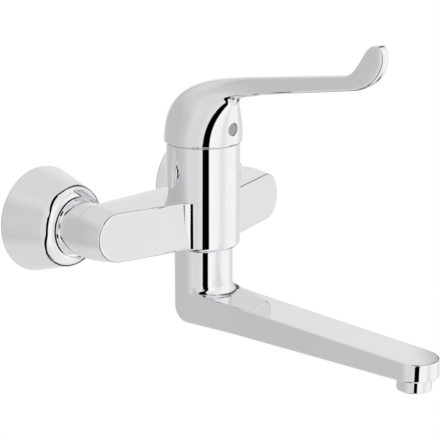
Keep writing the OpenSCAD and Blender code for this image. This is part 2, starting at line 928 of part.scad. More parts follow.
module indicator_plug()
    color(GREY_PLASTIC)
        on_barrel()
            translate([0, 0, indicator_z])
                rotate([90, 0, 0])
                    difference() {
                        hole(indicator_d, indicator_face - indicator_t, indicator_face);
                        hole(
                            indicator_d - 2 * indicator_wall,
                            indicator_face - indicator_t - past, indicator_face - indicator_wall
                        );
                    }

// Threaded nipple under the barrel that the spout turns on
module outlet_spigot()
    color(BRASS)
        on_barrel()
            difference() {
                union() {
                    hole(spigot_thread_d, -barrel_drop - past, spigot_thread - barrel_drop);
                    hole(spigot_d, spigot_end, -barrel_drop);
                }
                hole(spigot_bore, spigot_end - past, spigot_thread - barrel_drop + past);
                for (z = oring_heights)
                    tube(spigot_d + 2 * past, 2 * groove_r, z - groove_w / 2, z + groove_w / 2);
                tube(
                    spigot_d + 2 * past, spigot_d - 2 * bearing_t,
                    bearing_z - bearing_w / 2, bearing_z + bearing_w / 2
                );
                tube(
                    spigot_d + 2 * past, spigot_d - 2 * keeper_groove,
                    keeper_z - keeper_d / 2 - gap, keeper_z + keeper_d / 2 + gap
                );
            }

module spigot_orings()
    color(RUBBER)
        on_barrel()
            for (z = oring_heights)
                translate([0, 0, z])
                    rotate_extrude()
                        translate([oring_r, 0])
                            circle(d = oring_t);

module bearing_ring()
    color(WHITE_PLASTIC)
        on_barrel()
            tube(
                spigot_d + slip, spigot_d - 2 * bearing_t + 2 * slip,
                bearing_z - bearing_w / 2 + slip, bearing_z + bearing_w / 2 - slip
            );

module glide_washer()
    color(WHITE_PLASTIC)
        on_barrel()
            tube(pillar_d - 2 * glide_inset, spigot_d + 2 * slip, glide_z, -barrel_drop);

// Half width of the spout along the flare, an arc that meets the pillar and ends along the spout.
// The arc bites a little into the pillar so that the two outlines cross.
flare_steps = 8;
flare_y = sqrt(pow(pillar_d / 2 + flare_r - cross, 2) - pow(spout_root_w / 2 + flare_r, 2));
flare_start = flare_y * pillar_d / (pillar_d + 2 * flare_r);
function flare_half(y) = spout_root_w / 2 + flare_r - sqrt(pow(flare_r, 2) - pow(flare_y - y, 2));

// Plan of the spout between the pillar and the round end: sides that flare, then taper
module spout_sides() {
    flare = [
        for (i = [0 : flare_steps])
            let (y = flare_start + (flare_y - flare_start) * i / flare_steps)
            [flare_half(y), -y]
    ];
    side = concat(flare, [[spout_tip_d / 2, -spout_reach]]);
    other_side = [for (i = [len(side) - 1 : -1 : 0]) [-side[i][0], side[i][1]]];
    polygon(concat(side, other_side));
}

// Stands a side view, drawn as distance in front of the barrel's axis and height, across the spout
module upright(width)
    translate([-width / 2, 0, 0])
        rotate([90, 0, -90])
            mirror([0, 0, 1])
                linear_extrude(width)
                    children();

// Arm of the spout, with a flat underside and a top that slopes down to the end
module spout_arm() {
    top = spout_bottom + spout_root_h;
    front = spout_reach + spout_tip_d;
    intersection() {
        union() {
            translate([0, 0, spout_bottom])
                linear_extrude(spout_root_h)
                    spout_sides();
            translate([0, -spout_reach, 0])
                hole(spout_tip_d, spout_bottom, top);
        }
        upright(2 * pillar_d)
            polygon([
                [0, spout_bottom - past], [front, spout_bottom - past],
                [front, top - front * spout_slope], [0, top]
            ]);
    }
}

// Rounds the lower back edge of the pillar; starts a little past the pillar so that the two cross
module heel_cut() {
    back = -pillar_d / 2 - 2 * gap;
    upright(2 * pillar_d)
        difference() {
            translate([back - past, spout_bottom - past])
                square(heel_round + past);
            translate([back + heel_round, spout_bottom + heel_round])
                circle(heel_round);
        }
}

module spout()
    color(CHROME)
        on_barrel()
            difference() {
                union() {
                    hole(pillar_d, spout_bottom, pillar_top);
                    spout_arm();
                }
                heel_cut();
                spout_waterway();
                translate([0, 0, keeper_z])
                    rotate([-90, 0, 0])
                        cylinder(d = keeper_d + 2 * slip, h = pillar_d);
            }

// Socket for the spigot, flat channel along the arm and the aerator's thread
module spout_waterway() {
    floor_z = spout_bottom + spout_wall;
    hole(spigot_d + 2 * run, socket_end, pillar_top + past);
    hole(spigot_bore, spout_bottom + heel_floor, socket_end + past);
    upright(spout_tip_d - 3 * spout_wall)
        polygon([
            [0, floor_z],
            [spout_reach, floor_z],
            [spout_reach, spout_bottom + spout_tip_h - spout_wall],
            [0, spout_bottom + spout_root_h - 2 * spout_wall]
        ]);
    translate([0, -spout_reach, 0])
        hole(
            aerator_thread_d + 2 * slip, spout_bottom - past,
            spout_bottom + aerator_thread + aerator_seal_t
        );
}

module keeper_screw()
    color(STEEL)
        on_barrel()
            translate([0, 0, keeper_z])
                rotate([-90, 0, 0])
                    difference() {
                        hole(keeper_d, spigot_d / 2 - keeper_groove + gap, pillar_d / 2 - keeper_sink);
                        translate([0, 0, pillar_d / 2 - keeper_sink - socket_depth])
                            cylinder(d = keeper_d / 2, h = socket_depth + past, $fn = 6);
                    }

module on_outlet()
    on_barrel()
        translate([0, -spout_reach, spout_bottom])
            children();

module aerator_housing()
    color(CHROME)
        on_outlet()
            difference() {
                union() {
                    hole(aerator_d, -aerator_drop, 0);
                    hole(aerator_thread_d, -aerator_drop, aerator_thread);
                }
                hole(regulator_d + 2 * slip, aerator_thread - regulator_h, aerator_thread + past);
                hole(regulator_d - 2 * regulator_ledge, -aerator_drop - past, aerator_thread);
            }

module jet()
    hole(jet_d, aerator_thread - regulator_h - past, aerator_thread + past);

// Jet regulator with rings of holes
module jet_regulator()
    color(GREY_PLASTIC)
        on_outlet()
            difference() {
                hole(regulator_d, aerator_thread - regulator_h, aerator_thread);
                for (ring = [1, 2])
                    for (turn = [0 : 360 / (6 * ring) : 359])
                        rotate([0, 0, turn])
                            translate([ring * jet_pitch, 0, 0])
                                jet();
                jet();
            }

module aerator_seal()
    color(RUBBER)
        on_outlet()
            tube(
                aerator_thread_d, regulator_d - 2 * regulator_ledge,
                aerator_thread, aerator_thread + aerator_seal_t
            );

mixer_body();
s_union(-1);  // s_union_left
s_union(1);  // s_union_right
inlet_washer(-1);  // inlet_washer_left
inlet_washer(1);  // inlet_washer_right
inlet_nipple(-1);  // inlet_nipple_left
inlet_nipple(1);  // inlet_nipple_right
union_nut(-1);  // union_nut_left
union_nut(1);  // union_nut_right
rosette(-1);  // rosette_left
rosette(1);  // rosette_right
rosette_bush(-1);  // rosette_bush_left
rosette_bush(1);  // rosette_bush_right
cartridge_base();
base_seals();
cartridge_housing();
fixed_disc();
ring_nut();
cover_ring();
outlet_spigot();
spigot_orings();
bearing_ring();
glide_washer();
turret();
pivot_pin();
moving_disc();
disc_carrier();
lever_spindle();
lever();
set_screw();
indicator_plug();
spout();
keeper_screw();
aerator_housing();
jet_regulator();
aerator_seal();
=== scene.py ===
"""Wall-mounted single-lever mixer tap with a long elbow lever: looks, studio and camera.

Sizes are millimetres and are scaled to metres when a mesh is made. Pieces are drawn in local frames: an
inlet's frame has its third axis out of the wall, those of the barrel and the outlet have theirs up.
"""
import json
from math import acos, atan2, copysign, cos, hypot, pi, radians, remainder, sin, sqrt, tan

import bmesh
import bpy
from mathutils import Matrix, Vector


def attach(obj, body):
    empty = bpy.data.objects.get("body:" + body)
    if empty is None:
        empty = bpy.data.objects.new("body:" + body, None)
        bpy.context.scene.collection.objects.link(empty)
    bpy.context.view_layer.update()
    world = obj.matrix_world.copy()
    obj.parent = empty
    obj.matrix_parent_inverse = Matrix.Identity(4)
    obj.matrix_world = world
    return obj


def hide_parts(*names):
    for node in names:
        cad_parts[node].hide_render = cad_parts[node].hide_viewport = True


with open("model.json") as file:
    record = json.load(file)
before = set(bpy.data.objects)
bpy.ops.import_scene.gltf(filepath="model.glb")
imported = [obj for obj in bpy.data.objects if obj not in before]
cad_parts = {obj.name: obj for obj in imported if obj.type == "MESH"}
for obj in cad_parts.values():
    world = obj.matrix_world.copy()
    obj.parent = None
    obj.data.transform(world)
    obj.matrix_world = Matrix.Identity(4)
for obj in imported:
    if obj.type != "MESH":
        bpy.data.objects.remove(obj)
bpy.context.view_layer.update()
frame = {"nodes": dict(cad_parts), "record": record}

MM = 0.001

# Sizes follow the part's source, with finer rounding, taper and lean of the surfaces that show

# Place of the inlets and of the barrel's axis
INLET_X = 75
INLET_Z = 7.5
REACH = 82.5

# Rosette and bush
ROSETTE_R = 36.5
ROSETTE_RIM = 1
ROSETTE_DEPTH = 35.9
ROSETTE_ARCH = 8.4
ROSETTE_WALL = 1.6
GROOVE_WIDTH = 0.7
GROOVE_DEPTH = 4
COLLAR_WALL = 0.6
BUSH_R = 20.3
BUSH_START = 29.9
BUSH_LENGTH = 7
BUSH_EDGE = 0.25
BUSH_DISH = 0.2

# Union nut
NUT_R = 18.5
NUT_START = 22
NUT_HEX_END = 33
NUT_OVERLAP = 1
NUT_END = 53.7
NUT_EDGE = 0.4
NUT_THREAD_R = 13.25
NUT_SHELF = 46.05
NUT_BORE_R = 10.3

# Barrel, arms and waterways of the mixer body
BARREL_R = 25.25
BARREL_TOP = 53.5
BARREL_DROP = 18.4
BARREL_FOOT = 2.5
BARREL_LIP = 0.6
ARM_BACK = 54
ARM_FRONT = 78
ARM_SWEEP = tan(radians(15))
ARM_LEAN = tan(radians(2.5))
ARM_HALF = 18.9
ARM_TAPER = 2.6
ARM_CURVE = 1.9
ARM_FILLET = 2.2
ARM_BACK_FILLET = 0.5
VALLEY_R = 10
VALLEY_ROOT = 3
VALLEY_HALF = ARM_HALF - ARM_TAPER - ARM_FILLET / 4
NIPPLE_R = 10.05
NIPPLE_END = 64.5
CHANNEL_R = 7.5
CHANNEL_DEPTH = 66
INLET_BORE_R = CHANNEL_R * 0.93
PORT_R = 3.5
PORT_SPREAD = 9.5
SEAT = 12
CARTRIDGE_R = 20.05
RING_NUT_R = 21.55
RING_NUT_FOOT = 44
SPIGOT_R = 12.05
SPIGOT_TOP = -9.4

# Cap's rim, blade, paddle and tip of the lever
CAP_R = 26.8
CAP_Z = 54.3
LEVER_REACH = 149.4
BLADE_CROWN = 48.3
BLADE_ROOT_H = 12
BLADE_END_H = 9.6
BLADE_HALF = 4
BLADE_SLOPE = tan(radians(7))
BLADE_START = CAP_R + 18
BEND = LEVER_REACH - 29
BEND_RUN = 6
HEEL = LEVER_REACH - 19.5
HEEL_START = HEEL - 3
HEEL_END = HEEL + 9
PADDLE_HEIGHT = 17
TIP_LEAN = 4.4
TIP_DEPTH = 9.4
TIP_BACK_DROP = 4
TIP_FRONT_DROP = 8
TIP_NARROWING = 0.5

# How far the curves of paddle and tip lean away from their ends
PADDLE_BACK_PULL = (1.5 * TIP_DEPTH, 2.5 * TIP_BACK_DROP)
PADDLE_FRONT_PULL = (0, 1.4 * TIP_FRONT_DROP)
TIP_BACK_PULL = (0.7 * TIP_DEPTH, 0.1 * TIP_BACK_DROP)
TIP_FRONT_PULL = (0, 0.44 * TIP_FRONT_DROP)
CREST_BACK_PULL = (0.43 * TIP_DEPTH, -0.1 * TIP_BACK_DROP)
CREST_FRONT_PULL = (0.68 * TIP_LEAN, -0.15 * TIP_BACK_DROP)

# Cap of the lever, up to the blade
CAP_EDGE = 0.5
CAP_EDGE_SHARE = CAP_EDGE / (2.3 * BLADE_CROWN)
CAP_FRONT_SWELL = 0.5
CAP_FACE = 40
CAP_THROAT = 6.5
THROAT_FRONT = 3.2
THROAT_END = BLADE_START + 8
CAP_PINCH = 0.58
CAP_BACK_LEAN = 0.6
CAP_BACK_RISE = 0.78 * BLADE_CROWN
CAP_TOP_RUN = 52
CAP_NARROWING = 1.8

# Exponents of the lever's sections, and how fast the cap's top and front turn from round to square
ROUND = 2
SQUARE = 4
DOME_SQUARING = (2, 1.2)

# Inside of the lever, and its indicator
PIVOT_Z = 47.8
HOLLOW_R = 26.2
HUB_R = 9
HUB_Z = PIVOT_Z + 10.5
SPINDLE_HALF = 4.05
SPINDLE_TOP = PIVOT_Z + 36.3
SET_SCREW_R = 2.55
INDICATOR_Z = CAP_Z + 11
INDICATOR_R = 4.5
INDICATOR_FACE = CAP_R - 0.4
INDICATOR_BACK = CAP_R - 5
INDICATOR_EDGE = 0.5
INDICATOR_WALL = 1.5
INDICATOR_BORE = HUB_R + 1

# Spout
PILLAR_R = 20.2
PILLAR_TOP = -BARREL_DROP - 0.9
PILLAR_EDGE = 0.6
UNDERCUT_R = PILLAR_R + 1
UNDERCUT_DEPTH = 3
SPOUT_REACH = 177.5
SPOUT_BOTTOM = -BARREL_DROP - 52.9
SPOUT_ROOT_H = 22.1
SPOUT_TIP_H = 12.6
SPOUT_SLOPE = (SPOUT_ROOT_H - SPOUT_TIP_H) / SPOUT_REACH
SPOUT_TIP_R = 15.5
SPOUT_ROOT_HALF = 16.9
SPOUT_EDGE = 1.2
SPOUT_WALL = 3
FLARE_R = 550
HEEL_ROUND = 28
HEEL_BACK = -PILLAR_R - 0.6
HEEL_FLOOR = 8
FOOT_R = 6
FOOT_ROOT = 2
WATERWAY_HALF = SPOUT_TIP_R - 1.5 * SPOUT_WALL
WATERWAY_ROOT_H = SPOUT_ROOT_H - 2 * SPOUT_WALL
SOCKET_R = 13.06
SOCKET_END = -48.4
SPIGOT_BORE_R = 8
KEEPER_R = 2.55
KEEPER_Z = -43.2

# Aerator
AERATOR_R = 11.2
AERATOR_DROP = 8.6
AERATOR_THREAD_R = 10
AERATOR_THREAD = 6.4
AERATOR_EDGE = 0.7
AERATOR_BORE_R = 7.3
AERATOR_SEAL = 1.4
REGULATOR_R = 8.35
REGULATOR_FOOT = -2.6

# Clearance of pieces that sit in one another, and how far a cutter goes past what it cuts
FIT = 0.05
OVERSHOOT = 1

# Mesh fineness
SEGMENTS = 256
HOLLOW_SEGMENTS = 128
SMALL_SEGMENTS = 96
ARC_STEP = radians(5)
CORNER_STEPS = 8
ARM_STEPS = 120
ARM_END_STEPS = 48
ARM_NEAR = 0.02
ARM_WALL_STEPS = 12
ARM_WALL_START = 0.08
ARM_WALL_SPAN = 0.78
LEVER_SIDES = 160
DOME_SECTIONS = 70
BLADE_SECTIONS = 24
PADDLE_SECTIONS = 30
TIP_SECTIONS = 16
FLARE_STEPS = 24
TAPER_STEPS = 20
SPOUT_END_STEPS = 32
MERGE_DISTANCE = 1e-6
SHARP_ANGLE = radians(12)
NORMAL_WEIGHT = 100

# Camera and floor: places in metres, directions in degrees, lens and sensor in millimetres
CAMERA_PLACE = (-0.7430, -0.7532, 0.2703)
CAMERA_TURN = -48.58
CAMERA_TILT = 14.81
CAMERA_LENS = 122.73
CAMERA_SENSOR = 36
FLOOR_Z = -0.45
FLOOR_SIZE = 12
FLOOR_COLOUR = (0.8, 0.8, 0.8)


# Local frames

def on_inlet(side):
    """Maps the inlet frame of one side to the tap's frame."""
    return lambda x, y, z: (side * INLET_X + x, -z, INLET_Z + y)


def on_barrel(x, y, z):
    """Maps the barrel frame to the tap's frame."""
    return (x, y - REACH, INLET_Z + z)


def on_outlet(x, y, z):
    """Maps the frame of the spout's outlet to the tap's frame."""
    return on_barrel(x, y - SPOUT_REACH, z + SPOUT_BOTTOM)


def channel_run(side):
    """Way of the water from one inlet to its port."""
    return Vector((side * (PORT_SPREAD - INLET_X), CHANNEL_DEPTH - REACH, 0))


def on_channel(side):
    """Maps the frame of one side's channel, with its third axis along it, to the tap's frame."""
    along = channel_run(side).normalized()
    across = Vector((-along.y, along.x, 0))
    start = Vector((side * INLET_X, -CHANNEL_DEPTH, INLET_Z))
    return lambda x, y, z: start + across * x + Vector((0, 0, y)) + along * z


def on_port(side):
    """Maps the upright frame of one side's port to the tap's frame."""
    return lambda x, y, z: on_barrel(side * PORT_SPREAD + x, y, z)


def on_indicator(x, y, z):
    """Maps the frame of the indicator, with its third axis to the front, to the tap's frame."""
    return on_barrel(x, -z, INDICATOR_Z + y)


def on_keeper(x, y, z):
    """Maps the frame of the keeper screw, with its third axis to the back, to the tap's frame."""
    return on_barrel(x, z, KEEPER_Z + y)


def across_spout(x, y, z):
    """Maps side views of the spout, by distance in front and height, with the third axis to the left."""
    return on_barrel(-z, -x, y)


def on_spout_top(x, y, z):
    """Maps the frame on the spout's sloping top, upright like the barrel's, to the tap's frame."""
    return on_barrel(x, y, z + spout_top(-y))


# Meshes

def arc(centre, r, start, end):
    """Points of an arc in a plane, angles in radians."""
    steps = max(2, round(abs(end - start) / ARC_STEP))
    angles = [start + (end - start) * i / steps for i in range(steps + 1)]
    return [(centre[0] + r * cos(a), centre[1] + r * sin(a)) for a in angles]


def rounded_corner(corner, toward_a, toward_b, r):
    """Points of a fillet of radius r, from the side of a to the side of b."""
    a = Vector(toward_a).normalized()
    b = Vector(toward_b).normalized()
    half = acos(max(-1, min(1, a.dot(b)))) / 2
    centre = Vector(corner) + (a + b).normalized() * (r / sin(half))
    start = Vector(corner) + a * (r / tan(half)) - centre
    end = Vector(corner) + b * (r / tan(half)) - centre
    sweep = pi - 2 * half
    shares = [i / CORNER_STEPS for i in range(CORNER_STEPS + 1)]
    return [centre + (start * sin(sweep * (1 - s)) + end * sin(sweep * s)) / sin(sweep) for s in shares]


def new_piece(name, points, faces):
    """Mesh object from points in millimetres, with its faces turned outwards."""
    mesh = bpy.data.meshes.new(name)
    mesh.from_pydata([Vector(p) * MM for p in points], [], faces)
    work = bmesh.new()
    work.from_mesh(mesh)
    bmesh.ops.recalc_face_normals(work, faces=work.faces)
    work.to_mesh(mesh)
    work.free()
    piece = bpy.data.objects.new(name, mesh)
    bpy.context.scene.collection.objects.link(piece)
    return piece


def lathe(name, profile, place, segments=SEGMENTS):
    """Ring turned from a closed profile of radius and height; points on the axis become poles."""
    points = []
    rows = []
    for r, h in profile:
        count = segments if r > 0 else 1
        rows.append([len(points) + k for k in range(count)])
        angles = [2 * pi * k / segments for k in range(count)]
        points += [place(r * cos(a), r * sin(a), h) for a in angles]
    faces = []
    for row, after in zip(rows, rows[1:] + rows[:1]):
        if len(row) == len(after) == 1:
            continue
        for k in range(segments):
            corners = [row[k % len(row)], row[(k + 1) % len(row)]]
            corners += [after[(k + 1) % len(after)], after[k % len(after)]]
            faces.append(list(dict.fromkeys(corners)))
    return new_piece(name, points, faces)


def rod(r, start, end, place):
    """Plain round cutter along the third axis of a local frame."""
    return lathe("cutter", [(0, start), (r, start), (r, end), (0, end)], place, SMALL_SEGMENTS)


def prism(outline, start, end, place):
    """Straight block over an outline in the first two axes of a local frame."""
    count = len(outline)
    points = [place(x, y, h) for h in (start, end) for x, y in outline]
    sides = [(k, (k + 1) % count, count + (k + 1) % count, count + k) for k in range(count)]
    return new_piece("cutter", points, sides + [range(count), range(count, 2 * count)])


def wall_faces(count, rows, closed):
    """Faces between neighbours in a row of profiles, which may close to a ring."""
    faces = []
    for k in range(count if closed else count - 1):
        here = k * rows
        after = (k + 1) % count * rows
        faces += [(here + j, after + j, after + j + 1, here + j + 1) for j in range(rows - 1)]
    return faces


def lid_faces(count, rows, opposite):
    """Faces over the first and the last points of the profiles, across to the opposite profiles."""
    faces = []
    for j in (0, rows - 1):
        for k in range(count // 2):
            corners = (k, k + 1, opposite(k + 1), opposite(k))
            faces.append([c * rows + j for c in dict.fromkeys(corners)])
    return faces


def apply_modifiers(piece):
    """Gives a piece the mesh that its modifiers make."""
    graph = bpy.context.evaluated_depsgraph_get()
    mesh = bpy.data.meshes.new_from_object(piece.evaluated_get(graph))
    old = piece.data
    piece.modifiers.clear()
    piece.data = mesh
    bpy.data.meshes.remove(old)


def combine(piece, other, operation):
    """Puts another mesh together with the piece, and removes it."""
    step = piece.modifiers.new("combine", "BOOLEAN")
    step.object = other
    step.operation = operation
    step.solver = "EXACT"
    apply_modifiers(piece)
    bpy.data.objects.remove(other)


def join(piece, other):
    """Adds another mesh to the piece."""
    combine(piece, other, "UNION")


def cut(piece, other):
    """Cuts another mesh out of the piece."""
    combine(piece, other, "DIFFERENCE")


def smooth(piece):
    """Smooth shading that stays flat on large faces and breaks at the edges that are really sharp."""
    work = bmesh.new()
    work.from_mesh(piece.data)
    bmesh.ops.remove_doubles(work, verts=work.verts, dist=MERGE_DISTANCE)
    for face in work.faces:
        face.smooth = True
    for edge in work.edges:
        edge.smooth = edge.calc_face_angle(pi) < SHARP_ANGLE
    work.to_mesh(piece.data)
    work.free()
    weighted = piece.modifiers.new("even shading", "WEIGHTED_NORMAL")
    weighted.mode = "FACE_AREA"
    weighted.weight = NORMAL_WEIGHT
    weighted.keep_sharp = True


def dress(piece, node, body, slot):
    """Finishes a piece that stands for a CAD node."""
    smooth(piece)
    piece.data.materials.clear()
    piece.data.materials.append(materials[slot])
    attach(piece, body)
    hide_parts(node)


# Materials

# Range of a noise texture that is spread over the limits asked for
NOISE_LOW = 0.3
NOISE_HIGH = 0.7


def new_material(name, colour, metallic, roughness):
    """Material with its shader set and an object-space texture coordinate to build on."""
    material = bpy.data.materials.new(name)
    material.use_nodes = True
    nodes = material.node_tree.nodes
    shader = nodes["Principled BSDF"]
    shader.inputs["Base Color"].default_value = (*colour, 1)
    shader.inputs["Metallic"].default_value = metallic
    shader.inputs["Roughness"].default_value = roughness
    return material, shader, nodes.new("ShaderNodeTexCoord").outputs["Object"]


def noise(material, place, scale, detail):
    """Value of a noise texture."""
    node = material.node_tree.nodes.new("ShaderNodeTexNoise")
    node.inputs["Scale"].default_value = scale
    node.inputs["Detail"].default_value = detail
    material.node_tree.links.new(place, node.inputs["Vector"])
    return node.outputs["Fac"]


def spread(material, value, socket, low, high):
    """Drives a socket from a texture value, between two limits."""
    node = material.node_tree.nodes.new("ShaderNodeMapRange")
    node.inputs["From Min"].default_value = NOISE_LOW
    node.inputs["From Max"].default_value = NOISE_HIGH
    node.inputs["To Min"].default_value = low
    node.inputs["To Max"].default_value = high
    material.node_tree.links.new(value, node.inputs["Value"])
    material.node_tree.links.new(node.outputs["Result"], socket)


def tint(material, value, socket, dark, light):
    """Colours a socket between two tones from a texture value."""
    node = material.node_tree.nodes.new("ShaderNodeValToRGB")
    first, last = node.color_ramp.elements
    first.position = NOISE_LOW
    first.color = (*dark, 1)
    last.position = NOISE_HIGH
    last.color = (*light, 1)
    material.node_tree.links.new(value, node.inputs["Fac"])
    material.node_tree.links.new(node.outputs["Color"], socket)


def bump(material, shader, value, strength, depth):
    """Roughens a surface by a texture value; the depth is in metres."""
    node = material.node_tree.nodes.new("ShaderNodeBump")
    node.inputs["Strength"].default_value = strength
    node.inputs["Distance"].default_value = depth
    material.node_tree.links.new(value, node.inputs["Height"])
    material.node_tree.links.new(node.outputs["Normal"], shader.inputs["Normal"])


def shaded(colour, share):
    """Colour with a share of its light."""
    return tuple(c * share for c in colour)


def chrome_plate(colour):
    """Polished plate: faint cloudiness in the polish, and the slight waves of a buffed casting."""
    material, shader, place = new_material("chrome", colour, metallic=1, roughness=0.03)
    clouds = noise(material, place, scale=60, detail=4)
    spread(material, clouds, shader.inputs["Roughness"], low=0.015, high=0.05)
    tones = noise(material, place, scale=25, detail=3)
    tint(material, tones, shader.inputs["Base Color"], dark=shaded(colour, 0.985), light=colour)
    waves = noise(material, place, scale=45, detail=1)
    bump(material, shader, waves, strength=0.04, depth=0.00002)
    return material


def turned_metal(name, colour, roughness):
    """Machined metal with fine turning marks and uneven tone."""
    material, shader, place = new_material(name, colour, metallic=1, roughness=roughness)
    tones = noise(material, place, scale=120, detail=4)
    tint(material, tones, shader.inputs["Base Color"], dark=shaded(colour, 0.85), light=colour)
    wear = noise(material, place, scale=300, detail=3)
    spread(material, wear, shader.inputs["Roughness"], low=roughness * 0.8, high=roughness * 1.3)
    marks = noise(material, place, scale=1500, detail=2)
    bump(material, shader, marks, strength=0.15, depth=0.00003)
    return material


def moulded(name, colour, roughness, grain):
    """Moulded plastic, rubber or ceramic: fine grain and slight mottling."""
    material, shader, place = new_material(name, colour, metallic=0, roughness=roughness)
    mottling = noise(material, place, scale=200, detail=4)
    tint(material, mottling, shader.inputs["Base Color"], dark=shaded(colour, 0.92), light=colour)
    wear = noise(material, place, scale=400, detail=2)
    spread(material, wear, shader.inputs["Roughness"], low=roughness * 0.85, high=roughness * 1.15)
    bump(material, shader, noise(material, place, scale=grain, detail=2), strength=0.2, depth=0.00004)
    return material


def slot_colour(slot):
    """Base colour of a material slot, as in the record."""
    rows = frame["record"]["materials"]
    return tuple(next(row["base_color"] for row in rows if row["slot"] == slot))


materials = {
    "chrome": chrome_plate(slot_colour("chrome")),
    "brass": turned_metal("brass", slot_colour("brass"), roughness=0.28),
    "steel": turned_metal("steel", slot_colour("steel"), roughness=0.25),
    "rubber": moulded("rubber", slot_colour("rubber"), roughness=0.7, grain=900),
    "ceramic": moulded("ceramic", slot_colour("ceramic"), roughness=0.2, grain=2500),
    "white_plastic": moulded("white_plastic", slot_colour("white_plastic"), roughness=0.4, grain=1500),
    "grey_plastic": moulded("grey_plastic", slot_colour("grey_plastic"), roughness=0.4, grain=1500),
    "indicator_grey": moulded("indicator_grey", slot_colour("indicator_grey"), roughness=0.25, grain=2000),
}

for subpart in frame["record"]["subparts"]:
    node_mesh = frame["nodes"][subpart["node"]].data
    node_mesh.materials.clear()
    node_mesh.materials.append(materials[subpart["material_slot"]])

# In use the wall hides the wall unions, so the chrome doesn't mirror them
for label in ("left", "right"):
    frame["nodes"]["s_union_" + label].visible_glossy = False


# Inlet pieces

def bell_side(inset, end_r):
    """Profile of the bell at a depth in its wall: rim, cone and arch, in to a given radius."""
    centre = (BUSH_R, ROSETTE_DEPTH - ROSETTE_ARCH)
    foot = (ROSETTE_R - inset, ROSETTE_RIM)
    r = ROSETTE_ARCH - inset
    run = (foot[0] - centre[0], foot[1] - centre[1])
    touch = atan2(run[1], run[0]) + acos(r / hypot(*run))
    return [(foot[0], 0), foot] + arc(centre, r, touch, acos((end_r - centre[0]) / r))


def rosette(name, side):
    """Bell with a rounded front, and a collar that leaves a narrow groove around the bush."""
    outer_r = BUSH_R + GROOVE_WIDTH
    collar_r = outer_r + COLLAR_WALL
    groove = ROSETTE_DEPTH - GROOVE_DEPTH
    collar = [(outer_r, groove), (BUSH_R, groove)]
    collar += [(BUSH_R, groove - COLLAR_WALL), (collar_r, groove - COLLAR_WALL)]
    profile = bell_side(0, outer_r) + collar + bell_side(ROSETTE_WALL, collar_r)[::-1]
    dress(lathe(name + "_bell", profile, on_inlet(side)), name, "tap_body", "chrome")


def rosette_bush(name, side):
    """Centring ring around the nut, with a rounded outer edge and a slightly dished front."""
    inner = NUT_R + FIT
    top = BUSH_START + BUSH_LENGTH - BUSH_EDGE
    profile = [(inner, BUSH_START), (BUSH_R, BUSH_START)]
    profile += arc((BUSH_R - BUSH_EDGE, top), BUSH_EDGE, 0, pi / 2)
    profile += [(inner, top + BUSH_EDGE - BUSH_DISH)]
    dress(lathe(name + "_ring", profile, on_inlet(side)), name, "tap_body", "chrome")


def union_nut(name, side):
    """Round union nut; its hexagon sits inside the rosette."""
    place = on_inlet(side)
    foot = NUT_HEX_END - NUT_OVERLAP
    profile = [(NUT_BORE_R, NUT_SHELF), (NUT_BORE_R, NUT_END), (NUT_R - NUT_EDGE, NUT_END)]
    profile += arc((NUT_R - NUT_EDGE, NUT_END - NUT_EDGE), NUT_EDGE, pi / 2, 0)[1:]
    profile += [(NUT_R, foot), (NUT_THREAD_R, foot), (NUT_THREAD_R, NUT_SHELF)]
    piece = lathe(name + "_turned", profile, place)
    outline = [(NUT_R * cos(k * pi / 3), NUT_R * sin(k * pi / 3)) for k in range(6)]
    hexagon = prism(outline, NUT_START, NUT_HEX_END, place)
    cut(hexagon, rod(NUT_THREAD_R, NUT_START - OVERSHOOT, NUT_HEX_END + OVERSHOOT, place))
    join(piece, hexagon)
    dress(piece, name, "tap_body", "chrome")


# Mixer body

def arm_outline():
    """Outline of both arms seen from the front: centre line point and direction, over the top and back."""
    turns = [k * pi / (2 * ARM_END_STEPS) for k in range(ARM_END_STEPS + 1)]
    over = [(-INLET_X, pi - a) for a in turns[:-1]]
    over += [(-INLET_X + 2 * INLET_X * k / ARM_STEPS, pi / 2) for k in range(ARM_STEPS + 1)]
    over += [(INLET_X, pi / 2 - a) for a in turns[1:]]
    under = [(x, -a) for x, a in over[-2:0:-1]]
    return over + under


def arm_front(x):
    """Distance of the arms' front from the wall."""
    return ARM_FRONT + (INLET_X - abs(x)) * ARM_SWEEP


def arm_point(x, a, share):
    """Point of the arms' outer wall, a share of the way from the back to the front."""
    half = ARM_HALF - ARM_TAPER * share ** ARM_CURVE
    wall_x = x + half * cos(a)
    height = half * sin(a)
    depth = arm_front(wall_x) - ARM_LEAN * height - ARM_BACK
    return Vector((wall_x, -(ARM_BACK + depth * share), INLET_Z + height))


def arm_profile(x, a):
    """Points from the back edge to the front edge of the arms at one place of the outline."""
    back = arm_point(x, a, 0)
    front = arm_point(x, a, 1)
    side = 1 if front.x > 0 else -1
    inward = Vector((-cos(a), -side * cos(a) * ARM_SWEEP - sin(a) * ARM_LEAN, -sin(a)))
    near_back = arm_point(x, a, ARM_NEAR)
    near_front = arm_point(x, a, 1 - ARM_NEAR)
    start = rounded_corner(back, Vector((-cos(a), 0, -sin(a))), near_back - back, ARM_BACK_FILLET)
    end = rounded_corner(front, near_front - front, inward, ARM_FILLET)
    shares = [ARM_WALL_START + ARM_WALL_SPAN * i / ARM_WALL_STEPS for i in range(ARM_WALL_STEPS + 1)]
    return start + [arm_point(x, a, share) for share in shares] + end


def arms():
    """Both arms as one mesh, with the front swept back from the middle."""
    profiles = [arm_profile(x, a) for x, a in arm_outline()]
    count = len(profiles)
    rows = len(profiles[0])
    points = [p for profile in profiles for p in profile]
    faces = wall_faces(count, rows, closed=True)
    faces += lid_faces(count, rows, lambda k: (count - k) % count)
    return new_piece("arms", points, faces)


